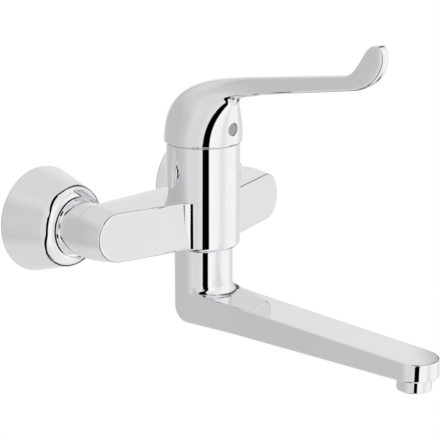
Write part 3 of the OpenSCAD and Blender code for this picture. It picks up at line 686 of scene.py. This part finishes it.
def valley_fillet(side):
    """Upright fillet between the barrel and the front of one arm."""
    lean = atan2(ARM_SWEEP, 1)
    outward = Vector((side * sin(lean), -cos(lean)))
    along = Vector((side * cos(lean), sin(lean)))
    off_axis = (arm_front(0) - REACH) * cos(lean)
    reach = BARREL_R + VALLEY_R
    centre = outward * (off_axis + VALLEY_R) + along * sqrt(reach**2 - (off_axis + VALLEY_R) ** 2)
    on_arm = centre - outward * VALLEY_R
    on_round = centre * (BARREL_R / reach)
    start = atan2(-outward.y, -outward.x)
    sweep = remainder(atan2(-centre.y, -centre.x) - start, 2 * pi)
    outline = [on_arm - outward * VALLEY_ROOT] + arc(centre, VALLEY_R, start, start + sweep)
    outline += [on_round * (1 - VALLEY_ROOT / BARREL_R)]
    return prism(outline, -VALLEY_HALF, VALLEY_HALF, on_barrel)


def cut_waterway(piece, side):
    """Cuts one side's way of the water: seat of the nipple, channel, bend and port."""
    inlet = on_inlet(side)
    cut(piece, rod(NIPPLE_R, ARM_BACK - OVERSHOOT, NIPPLE_END, inlet))
    cut(piece, rod(CHANNEL_R, 0, channel_run(side).length, on_channel(side)))
    cut(piece, rod(INLET_BORE_R, NIPPLE_END - OVERSHOOT, CHANNEL_DEPTH + CHANNEL_R, inlet))
    cut(piece, rod(PORT_R, 0, SEAT + OVERSHOOT, on_port(side)))


def mixer_body():
    """Barrel and arms in one casting, with the waterways and the bores of cartridge, ring nut and spigot."""
    top = BARREL_R - BARREL_LIP
    foot = BARREL_R - BARREL_FOOT
    profile = [(0, -BARREL_DROP), (foot, -BARREL_DROP)]
    profile += arc((foot, BARREL_FOOT - BARREL_DROP), BARREL_FOOT, -pi / 2, 0)[1:]
    profile += arc((top, BARREL_TOP - BARREL_LIP), BARREL_LIP, 0, pi / 2) + [(0, BARREL_TOP)]
    piece = lathe("mixer_casting", profile, on_barrel)
    join(piece, arms())
    for side in (-1, 1):
        join(piece, valley_fillet(side))
        cut_waterway(piece, side)
    cut(piece, rod(CARTRIDGE_R, SEAT, BARREL_TOP + OVERSHOOT, on_barrel))
    cut(piece, rod(RING_NUT_R, RING_NUT_FOOT, BARREL_TOP + OVERSHOOT, on_barrel))
    cut(piece, rod(SPIGOT_R, -BARREL_DROP - OVERSHOOT, SPIGOT_TOP, on_barrel))
    cut(piece, rod(UNDERCUT_R, -BARREL_DROP - UNDERCUT_DEPTH, -BARREL_DROP, on_barrel))
    dress(piece, "mixer_body", "tap_body", "chrome")


# Lever

# First and last of the lever's four stretches
DOME = 0
TIP = 3


def curve(p, t):
    """Point of a cubic curve given by its ends and the two points that it leans towards."""
    s = 1 - t
    return p[0] * s**3 + p[1] * (3 * t * s * s) + p[2] * (3 * t * t * s) + p[3] * t**3


def straight(a, b):
    """Straight line between two points, given like a cubic curve."""
    return [a, a + (b - a) / 3, b - (b - a) / 3, b]


def top_line(f):
    """Height of the blade's top at a distance in front of the barrel's axis."""
    return CAP_Z + BLADE_CROWN + (f - BLADE_START) * BLADE_SLOPE


def low_line(f):
    """Height of the blade's underside at a distance in front of the barrel's axis."""
    slope = BLADE_SLOPE + (BLADE_ROOT_H - BLADE_END_H) / (HEEL - BLADE_START)
    return CAP_Z + BLADE_CROWN - BLADE_ROOT_H + (f - BLADE_START) * slope


def on_top(f):
    """Point of the blade's top, in a side view."""
    return Vector((f, top_line(f)))


def on_low(f):
    """Point of the blade's underside, in a side view."""
    return Vector((f, low_line(f)))


def lever_stretches():
    """Curves along the lever's top and underside, and the number of sections, for each stretch."""
    end_z = top_line(LEVER_REACH) + PADDLE_HEIGHT
    end_f = LEVER_REACH - TIP_LEAN
    back = Vector((end_f - TIP_DEPTH, end_z - TIP_BACK_DROP))
    front = Vector((LEVER_REACH, end_z - TIP_FRONT_DROP))
    crest = Vector((end_f, end_z))
    dome_top = [
        Vector((-CAP_R, CAP_Z)),
        Vector((CAP_BACK_LEAN - CAP_R, CAP_Z + CAP_BACK_RISE)),
        on_top(BLADE_START - CAP_TOP_RUN),
        on_top(BLADE_START),
    ]
    dome_low = [
        Vector((CAP_R, CAP_Z)),
        Vector((CAP_R + CAP_FRONT_SWELL, CAP_Z + CAP_FACE)),
        Vector((CAP_R + THROAT_FRONT, low_line(THROAT_END) - CAP_THROAT)),
        on_low(THROAT_END),
    ]
    blade_top = straight(on_top(BLADE_START), on_top(BEND))
    blade_low = straight(on_low(THROAT_END), on_low(HEEL_START))
    paddle_top = [on_top(BEND), on_top(BEND + BEND_RUN), crest - Vector(PADDLE_BACK_PULL), back]
    paddle_low = [on_low(HEEL_START), on_low(HEEL_END), front - Vector(PADDLE_FRONT_PULL), front]
    tip_top = [back, crest - Vector(TIP_BACK_PULL), crest - Vector(CREST_BACK_PULL), crest]
    tip_low = [front, front + Vector(TIP_FRONT_PULL), crest + Vector(CREST_FRONT_PULL), crest]
    return [
        (dome_top, dome_low, DOME_SECTIONS),
        (blade_top, blade_low, BLADE_SECTIONS),
        (paddle_top, paddle_low, PADDLE_SECTIONS),
        (tip_top, tip_low, TIP_SECTIONS),
    ]


def lever_half_width(stretch, t):
    """Half width of the lever a share of the way along a stretch."""
    if stretch == DOME:
        return BLADE_HALF + (CAP_R - BLADE_HALF) * (1 - t**CAP_NARROWING) ** CAP_NARROWING
    if stretch == TIP:
        return BLADE_HALF * sqrt(1 - TIP_NARROWING * t * t)
    return BLADE_HALF


def lever_ring(top, low, width, squares, pinch):
    """Section of the lever: an oval, squared at its top and low end as asked for, pinched at the low end."""
    mid = (top + low) / 2
    half = (top - low) / 2
    ring = []
    for k in range(LEVER_SIDES):
        a = 2 * pi * k / LEVER_SIDES
        square = squares[0] + (squares[1] - squares[0]) * (1 - cos(a)) / 2
        across = copysign(abs(sin(a)) ** (ROUND / square), sin(a))
        along = copysign(abs(cos(a)) ** (ROUND / square), cos(a))
        p = mid + half * along
        narrow = 1 - pinch * ((1 - along) / 2) ** 2
        ring.append(on_barrel(width * narrow * across, -p.x, p.y))
    return ring


def lever_rings(stretches):
    """Sections of the lever, from the cap's rounded rim to the last one before the crest."""
    top, low, _ = stretches[DOME]
    edge = Vector((CAP_EDGE, 0))
    rings = [lever_ring(top[0] + edge, low[0] - edge, CAP_R - CAP_EDGE, (ROUND, ROUND), 0)]
    for stretch, (top, low, count) in enumerate(stretches):
        for i in range(count):
            t = i / count
            squares = (SQUARE, SQUARE)
            pinch = 0
            if stretch == DOME:
                t = max(t, CAP_EDGE_SHARE)
                squares = [ROUND + (SQUARE - ROUND) * t**power for power in DOME_SQUARING]
                pinch = CAP_PINCH * sin(pi * t) ** 2
            width = lever_half_width(stretch, t)
            rings.append(lever_ring(curve(top, t), curve(low, t), width, squares, pinch))
    return rings


def lever_skin():
    """Outer shape of the lever, closed under the cap and at the crest of its tip."""
    stretches = lever_stretches()
    rings = lever_rings(stretches)
    sides = LEVER_SIDES
    crest = stretches[TIP][0][-1]
    points = [p for ring in rings for p in ring] + [on_barrel(0, -crest.x, crest.y)]
    faces = [range(sides)]
    for row in range(len(rings) - 1):
        here = row * sides
        above = here + sides
        for k in range(sides):
            after = (k + 1) % sides
            faces.append((here + k, here + after, above + after, above + k))
    last = (len(rings) - 1) * sides
    faces += [(last + k, last + (k + 1) % sides, len(points) - 1) for k in range(sides)]
    return new_piece("elbow_lever", points, faces)


def cap_hollow():
    """Round hollow of the cap about the pivot, with the hub for the spindle left standing in it."""
    profile = [(0, -HOLLOW_R)] + arc((0, 0), HOLLOW_R, -pi / 2, pi / 2)[1:-1] + [(0, HOLLOW_R)]
    hollow = lathe("cutter", [(r, h + PIVOT_Z) for r, h in profile], on_barrel, HOLLOW_SEGMENTS)
    cut(hollow, rod(HUB_R, HUB_Z, PIVOT_Z + HOLLOW_R + OVERSHOOT, on_barrel))
    return hollow


def lever():
    """Cap, blade and paddle in one casting, with its hollow and the bores of spindle, screw and indicator."""
    piece = lever_skin()
    cut(piece, cap_hollow())
    square = [(SPINDLE_HALF * sx, SPINDLE_HALF * sy) for sx, sy in ((-1, -1), (1, -1), (1, 1), (-1, 1))]
    cut(piece, prism(square, HUB_Z - OVERSHOOT, SPINDLE_TOP, on_barrel))
    cut(piece, rod(SET_SCREW_R, 0, CAP_R, on_indicator))
    cut(piece, rod(INDICATOR_R + FIT, INDICATOR_BORE, 2 * CAP_R, on_indicator))
    dress(piece, "lever", "lever_unit", "chrome")


def indicator_plug():
    """Cup-shaped plug with a flat face and a rounded edge."""
    edge = INDICATOR_EDGE
    inner = INDICATOR_R - INDICATOR_WALL
    bottom = INDICATOR_FACE - INDICATOR_WALL
    profile = [(0, bottom), (inner, bottom), (inner, INDICATOR_BACK), (INDICATOR_R, INDICATOR_BACK)]
    profile += arc((INDICATOR_R - edge, INDICATOR_FACE - edge), edge, 0, pi / 2) + [(0, INDICATOR_FACE)]
    piece = lathe("indicator_button", profile, on_indicator, SMALL_SEGMENTS)
    dress(piece, "indicator_plug", "lever_unit", "indicator_grey")


# Spout

def spout_outline():
    """Plan of the spout from the pillar's flare round its end and back: half width and distance in front."""
    centre_x = SPOUT_ROOT_HALF + FLARE_R
    flare_end = sqrt((PILLAR_R + FLARE_R) ** 2 - centre_x**2)
    side = []
    for i in range(FLARE_STEPS + 1):
        f = flare_end * i / FLARE_STEPS
        side.append((centre_x - sqrt(FLARE_R**2 - (flare_end - f) ** 2), f))
    for i in range(1, TAPER_STEPS):
        x = SPOUT_ROOT_HALF + (SPOUT_TIP_R - SPOUT_ROOT_HALF) * i / TAPER_STEPS
        side.append((x, flare_end + (SPOUT_REACH - flare_end) * i / TAPER_STEPS))
    for k in range(SPOUT_END_STEPS + 1):
        a = k * pi / (2 * SPOUT_END_STEPS)
        side.append((SPOUT_TIP_R * cos(a), SPOUT_REACH + SPOUT_TIP_R * sin(a)))
    return side + [(-x, f) for x, f in side[-2::-1]]


def spout_top(f):
    """Height of the spout's sloping top at a distance in front of the barrel's axis."""
    return SPOUT_BOTTOM + SPOUT_ROOT_H - SPOUT_SLOPE * f


def spout_profile(outline, k):
    """Points of the spout's lower and upper edge, both rounded, at one point of its plan."""
    x, f = outline[k]
    before = Vector(outline[max(k - 1, 0)])
    after = Vector(outline[min(k + 1, len(outline) - 1)])
    along = (after - before).normalized()
    inward = Vector((-along.y, along.x))
    top = Vector((x, -f, spout_top(f)))
    low = Vector((x, -f, SPOUT_BOTTOM))
    flat = Vector((inward.x, -inward.y, 0))
    sloped = Vector((inward.x, -inward.y, -inward.y * SPOUT_SLOPE))
    low_edge = rounded_corner(low, flat, (0, 0, 1), SPOUT_EDGE)
    top_edge = rounded_corner(top, (0, 0, -1), sloped, SPOUT_EDGE)
    return low_edge + top_edge


def spout_arm():
    """Arm with a flat underside, a sloping top and rounded edges."""
    outline = spout_outline()
    count = len(outline)
    profiles = [spout_profile(outline, k) for k in range(count)]
    rows = len(profiles[0])
    points = [on_barrel(*p) for profile in profiles for p in profile]
    faces = wall_faces(count, rows, closed=False)
    faces += lid_faces(count, rows, lambda k: count - 1 - k)
    last = (count - 1) * rows
    faces.append([*range(rows), *reversed(range(last, last + rows))])
    return new_piece("spout_arm", points, faces)


def heel_cut():
    """Cutter that rounds the lower back edge of the pillar."""
    end = HEEL_BACK + HEEL_ROUND
    top = SPOUT_BOTTOM + HEEL_ROUND
    behind = HEEL_BACK - OVERSHOOT
    below = SPOUT_BOTTOM - OVERSHOOT
    outline = arc((end, top), HEEL_ROUND, pi, 1.5 * pi) + [(end, below), (behind, below), (behind, top)]
    return prism(outline, -2 * PILLAR_R, 2 * PILLAR_R, across_spout)


def pillar_foot():
    """Fillet between the pillar and the spout's top, as wide as the spout."""
    outer = PILLAR_R + FOOT_R
    inner = PILLAR_R - FOOT_ROOT
    profile = [(inner, -FOOT_ROOT), (outer, -FOOT_ROOT)] + arc((outer, FOOT_R), FOOT_R, 1.5 * pi, pi)
    foot = lathe("foot", profile + [(inner, FOOT_R)], on_spout_top)
    plan = [(x - copysign(SPOUT_EDGE / 2, x), -f) for x, f in spout_outline()]
    combine(foot, prism(plan, SPOUT_BOTTOM, 0, on_barrel), "INTERSECT")
    return foot


def spout_waterway():
    """Flat channel inside the spout's arm, from the pillar to the outlet."""
    floor = SPOUT_BOTTOM + SPOUT_WALL
    outline = [
        (0, floor),
        (SPOUT_REACH, floor),
        (SPOUT_REACH, SPOUT_BOTTOM + SPOUT_TIP_H - SPOUT_WALL),
        (0, SPOUT_BOTTOM + WATERWAY_ROOT_H),
    ]
    return prism(outline, -WATERWAY_HALF, WATERWAY_HALF, across_spout)


def spout():
    """Pillar and flat arm in one casting, with its waterway and the bores of spigot, aerator and keeper."""
    edge = PILLAR_EDGE
    profile = [(0, SPOUT_BOTTOM)]
    profile += arc((PILLAR_R - SPOUT_EDGE, SPOUT_BOTTOM + SPOUT_EDGE), SPOUT_EDGE, -pi / 2, 0)
    profile += arc((PILLAR_R - edge, PILLAR_TOP - edge), edge, 0, pi / 2) + [(0, PILLAR_TOP)]
    piece = lathe("swivel_spout", profile, on_barrel)
    join(piece, spout_arm())
    join(piece, pillar_foot())
    cut(piece, heel_cut())
    cut(piece, rod(SOCKET_R, SOCKET_END, PILLAR_TOP + OVERSHOOT, on_barrel))
    cut(piece, rod(SPIGOT_BORE_R, SPOUT_BOTTOM + HEEL_FLOOR, SOCKET_END + OVERSHOOT, on_barrel))
    cut(piece, spout_waterway())
    cut(piece, rod(AERATOR_THREAD_R + FIT, -OVERSHOOT, AERATOR_THREAD + AERATOR_SEAL, on_outlet))
    cut(piece, rod(KEEPER_R, 0, 2 * PILLAR_R, on_keeper))
    dress(piece, "spout", "spout_unit", "chrome")


def aerator_housing():
    """Ring under the end of the spout, with its thread inside the spout."""
    edge = AERATOR_EDGE
    inner = AERATOR_BORE_R
    profile = [(inner, REGULATOR_FOOT), (inner, edge - AERATOR_DROP)]
    profile += arc((inner + edge, edge - AERATOR_DROP), edge, pi, 1.5 * pi)[1:]
    profile += arc((AERATOR_R - edge, edge - AERATOR_DROP), edge, -pi / 2, 0)
    profile += [(AERATOR_R, 0), (AERATOR_THREAD_R, 0), (AERATOR_THREAD_R, AERATOR_THREAD)]
    profile += [(REGULATOR_R, AERATOR_THREAD), (REGULATOR_R, REGULATOR_FOOT)]
    dress(lathe("aerator_ring", profile, on_outlet), "aerator_housing", "spout_unit", "chrome")


for label, inlet_side in (("left", -1), ("right", 1)):
    rosette("rosette_" + label, inlet_side)
    rosette_bush("rosette_bush_" + label, inlet_side)
    union_nut("union_nut_" + label, inlet_side)
mixer_body()
lever()
indicator_plug()
spout()
aerator_housing()


# Studio
# The light tent as the chrome shows it: two panels and a floor, with dark seams between them. Turns are
# degrees to the right of the camera, heights are degrees over the horizon, tones are as on the screen.
ALL_TURNS = 360
ALL_HEIGHTS = 180

# Tone by turn, near the horizon and away from it
LEVEL_TONES = [
    (-180, 0.87), (-170, 0.85), (-145, 0.75), (-80, 0.75), (-62, 0.78), (-46, 0.85), (-20, 0.84), (0, 0.90),
    (20, 0.97), (48, 0.95), (58, 0.89), (68, 0.90), (80, 0.95), (115, 0.96), (126, 0.89), (145, 0.84),
    (165, 0.89), (180, 0.87),
]
POLE_TONES = [(-180, 0.84), (-80, 0.84), (-50, 0.87), (0, 0.88), (100, 0.93), (180, 0.84)]
LEVEL_LIMIT = 38
LEVEL_BLUR = 14

# Height of the floor's seam by turn, its half thickness and how dark it is
SEAM_HEIGHTS = [
    (-180, -55), (-165, -66), (-148, -71), (-100, -74), (-60, -66), (105, -38), (135, -40), (148, -42),
    (160, -47), (180, -55),
]
SEAM_HALVES = [
    (-180, 20), (-165, 13), (-148, 7), (-60, 7), (105, 2), (135, 4), (148, 8), (160, 13), (180, 20),
]
SEAM_DEPTHS = [(-180, 0.9), (-60, 0.9), (-40, 0), (100, 0), (106, 0.3), (120, 0.3), (140, 0.8), (180, 0.9)]

# Left and right side of the upright slit between the panels, by height
SLIT_LEFT = [
    (-68, -66), (-55, -48), (-45, -36), (-36, -27), (-28, -17), (-22, -9), (-17.5, -4), (-12, -2),
    (20.5, -1), (22, 4), (25, 7), (32, 5), (42, -4), (60, -20), (80, -40),
]
SLIT_RIGHT = [
    (-68, -36), (-55, -20), (-45, -11), (-36, -3), (-28, 6), (-22, 13), (-17.5, 18), (-5, 19), (5, 20),
    (20, 21), (30, 20), (40, 16), (60, 16), (80, 50),
]

# Turn of the seam behind the right panel, by height, its half width and how dark it is
BACK_SEAM = [(-8, 156), (2, 160), (12, 162), (22, 161), (35, 155), (48, 147), (66, 130), (82, 74)]
BACK_SEAM_HALVES = [(-8, 7), (35, 9), (50, 10), (66, 16), (80, 50)]
BACK_SEAM_DEPTHS = [(-8, 0), (-2, 0.6), (8, 0.85), (66, 0.9), (84, 1)]
SEAM_BLUR = 1.5

# Soft lamp behind the left panel: its turn and height, and the reach of its glow
GLOW_PLACE = (-160, 8)
GLOW_INNER = 4
GLOW_OUTER = 22


def linear(tone):
    """Light level that the screen shows as the given tone, by the usual curve of screens."""
    return tone / 12.92 if tone < 0.04 else ((tone + 0.055) / 1.055) ** 2.4


def heading(turn, height):
    """Unit vector of a direction given by its turn and height."""
    a = radians(CAMERA_TURN + turn)
    h = radians(height)
    return (sin(a) * cos(h), -cos(a) * cos(h), sin(h))


def feed(tree, value, socket):
    """Gives a socket a number or a link."""
    if isinstance(value, (int, float)):
        socket.default_value = value
    else:
        tree.links.new(value, socket)


def calc(tree, operation, *values):
    """Result of an arithmetic node for numbers or links."""
    node = tree.nodes.new("ShaderNodeMath")
    node.operation = operation
    for socket, value in zip(node.inputs, values):
        feed(tree, value, socket)
    return node.outputs["Value"]


def ramp(tree, angle, stops, circle):
    """Value that follows an angle in degrees through stops of angle and value."""
    values = [value for _, value in stops]
    low = min(values)
    span = max(values) - low
    node = tree.nodes.new("ShaderNodeValToRGB")
    elements = node.color_ramp.elements
    elements.remove(elements[1])
    elements[0].position = 0
    for place, value in stops:
        share = 0.5 + place / circle
        element = elements.new(share) if place > stops[0][0] else elements[0]
        element.position = share
        element.color = (*[(value - low) / span] * 3, 1)
    tree.links.new(calc(tree, "MULTIPLY_ADD", angle, 1 / circle, 0.5), node.inputs["Fac"])
    return calc(tree, "MULTIPLY_ADD", node.outputs["Color"], span, low)


def by_turn(tree, turn, stops):
    """Value that follows the turn."""
    return ramp(tree, turn, stops, ALL_TURNS)


def by_height(tree, height, stops):
    """Value that follows the height."""
    return ramp(tree, height, stops, ALL_HEIGHTS)


def rise(tree, value, limit, blur):
    """Goes softly from 0 to 1 where a value passes a limit."""
    node = tree.nodes.new("ShaderNodeMapRange")
    node.interpolation_type = "SMOOTHSTEP"
    node.inputs["From Min"].default_value = -blur
    node.inputs["From Max"].default_value = blur
    tree.links.new(calc(tree, "SUBTRACT", value, limit), node.inputs["Value"])
    return node.outputs["Result"]


def between(tree, value, low, high):
    """1 between two limits and 0 outside them, with soft edges."""
    over_low = rise(tree, value, low, SEAM_BLUR)
    under_high = calc(tree, "SUBTRACT", 1, rise(tree, value, high, SEAM_BLUR))
    return calc(tree, "MULTIPLY", over_low, under_high)


def band(tree, value, middle, half):
    """1 within a half width of a middle and 0 outside it, with soft edges."""
    low = calc(tree, "SUBTRACT", middle, half)
    high = calc(tree, "ADD", middle, half)
    return between(tree, value, low, high)


def blend(tree, share, a, b):
    """Goes from a to b with the share."""
    return calc(tree, "MULTIPLY_ADD", share, calc(tree, "SUBTRACT", b, a), a)


def direction_along(tree, vector):
    """Part of the looked-at direction that lies along a vector."""
    node = tree.nodes.new("ShaderNodeVectorMath")
    node.operation = "DOT_PRODUCT"
    node.inputs[1].default_value = vector
    tree.links.new(tree.nodes.new("ShaderNodeTexCoord").outputs["Generated"], node.inputs[0])
    return node.outputs["Value"]


def panel_light(tree, turn, height):
    """Tones of the panels, with the lamp behind them."""
    level = by_turn(tree, turn, [(a, linear(tone)) for a, tone in LEVEL_TONES])
    pole = by_turn(tree, turn, [(a, linear(tone)) for a, tone in POLE_TONES])
    off_level = rise(tree, calc(tree, "ABSOLUTE", height), LEVEL_LIMIT, LEVEL_BLUR)
    off_lamp = calc(tree, "DEGREES", calc(tree, "ARCCOSINE", direction_along(tree, heading(*GLOW_PLACE))))
    middle = (GLOW_INNER + GLOW_OUTER) / 2
    dim = rise(tree, off_lamp, middle, middle - GLOW_INNER)
    return blend(tree, dim, 1, blend(tree, off_level, level, pole))


def seam_shade(tree, turn, height):
    """How dark each direction is from the seams between the panels."""
    seam = band(tree, height, by_turn(tree, turn, SEAM_HEIGHTS), by_turn(tree, turn, SEAM_HALVES))
    seam = calc(tree, "MULTIPLY", seam, by_turn(tree, turn, SEAM_DEPTHS))
    slit = between(tree, turn, by_height(tree, height, SLIT_LEFT), by_height(tree, height, SLIT_RIGHT))
    back = band(tree, turn, by_height(tree, height, BACK_SEAM), by_height(tree, height, BACK_SEAM_HALVES))
    back = calc(tree, "MULTIPLY", back, by_height(tree, height, BACK_SEAM_DEPTHS))
    return calc(tree, "MAXIMUM", calc(tree, "MAXIMUM", seam, slit), back)


def studio_world():
    """White to the camera, the light tent to the metal."""
    world = bpy.data.worlds.new("studio")
    world.use_nodes = True
    bpy.context.scene.world = world
    tree = world.node_tree
    to_right = direction_along(tree, heading(90, 0))
    to_camera = direction_along(tree, heading(0, 0))
    turn = calc(tree, "DEGREES", calc(tree, "ARCTAN2", to_right, to_camera))
    height = calc(tree, "DEGREES", calc(tree, "ARCSINE", direction_along(tree, (0, 0, 1))))
    lit = calc(tree, "SUBTRACT", 1, seam_shade(tree, turn, height))
    chrome = slot_colour("chrome")
    mirror = sum(chrome) / len(chrome)
    tent = calc(tree, "DIVIDE", calc(tree, "MULTIPLY", panel_light(tree, turn, height), lit), mirror)
    path = tree.nodes.new("ShaderNodeLightPath")
    shown = calc(tree, "MAXIMUM", path.outputs["Is Camera Ray"], path.outputs["Is Transmission Ray"])
    tree.links.new(blend(tree, shown, tent, 1), tree.nodes["Background"].inputs["Color"])


def studio_floor():
    """Pale floor far below the tap, white to the camera."""
    half = FLOOR_SIZE / 2 / MM
    z = FLOOR_Z / MM
    corners = [(-half, -half, z), (half, -half, z), (half, half, z), (-half, half, z)]
    ground = new_piece("floor", corners, [(0, 1, 2, 3)])
    ground.visible_glossy = False
    material, shader, _ = new_material("pale_floor", FLOOR_COLOUR, metallic=0, roughness=0.8)
    nodes = material.node_tree.nodes
    links = material.node_tree.links
    glow = nodes.new("ShaderNodeEmission")
    glow.inputs["Strength"].default_value = 1
    path = nodes.new("ShaderNodeLightPath")
    mix = nodes.new("ShaderNodeMixShader")
    links.new(path.outputs["Is Camera Ray"], mix.inputs["Fac"])
    links.new(shader.outputs["BSDF"], mix.inputs[1])
    links.new(glow.outputs["Emission"], mix.inputs[2])
    links.new(mix.outputs["Shader"], nodes["Material Output"].inputs["Surface"])
    ground.data.materials.append(material)


def studio_camera():
    """Camera in front of the tap, to its left and a little above."""
    data = bpy.data.cameras.new("camera")
    data.sensor_width = CAMERA_SENSOR
    data.lens = CAMERA_LENS
    eye = bpy.data.objects.new("camera", data)
    eye.location = CAMERA_PLACE
    eye.rotation_euler = (radians(90 - CAMERA_TILT), 0, radians(CAMERA_TURN))
    bpy.context.scene.collection.objects.link(eye)
    bpy.context.scene.camera = eye


studio_world()
studio_floor()
studio_camera()
bpy.context.scene.view_settings.view_transform = "Standard"
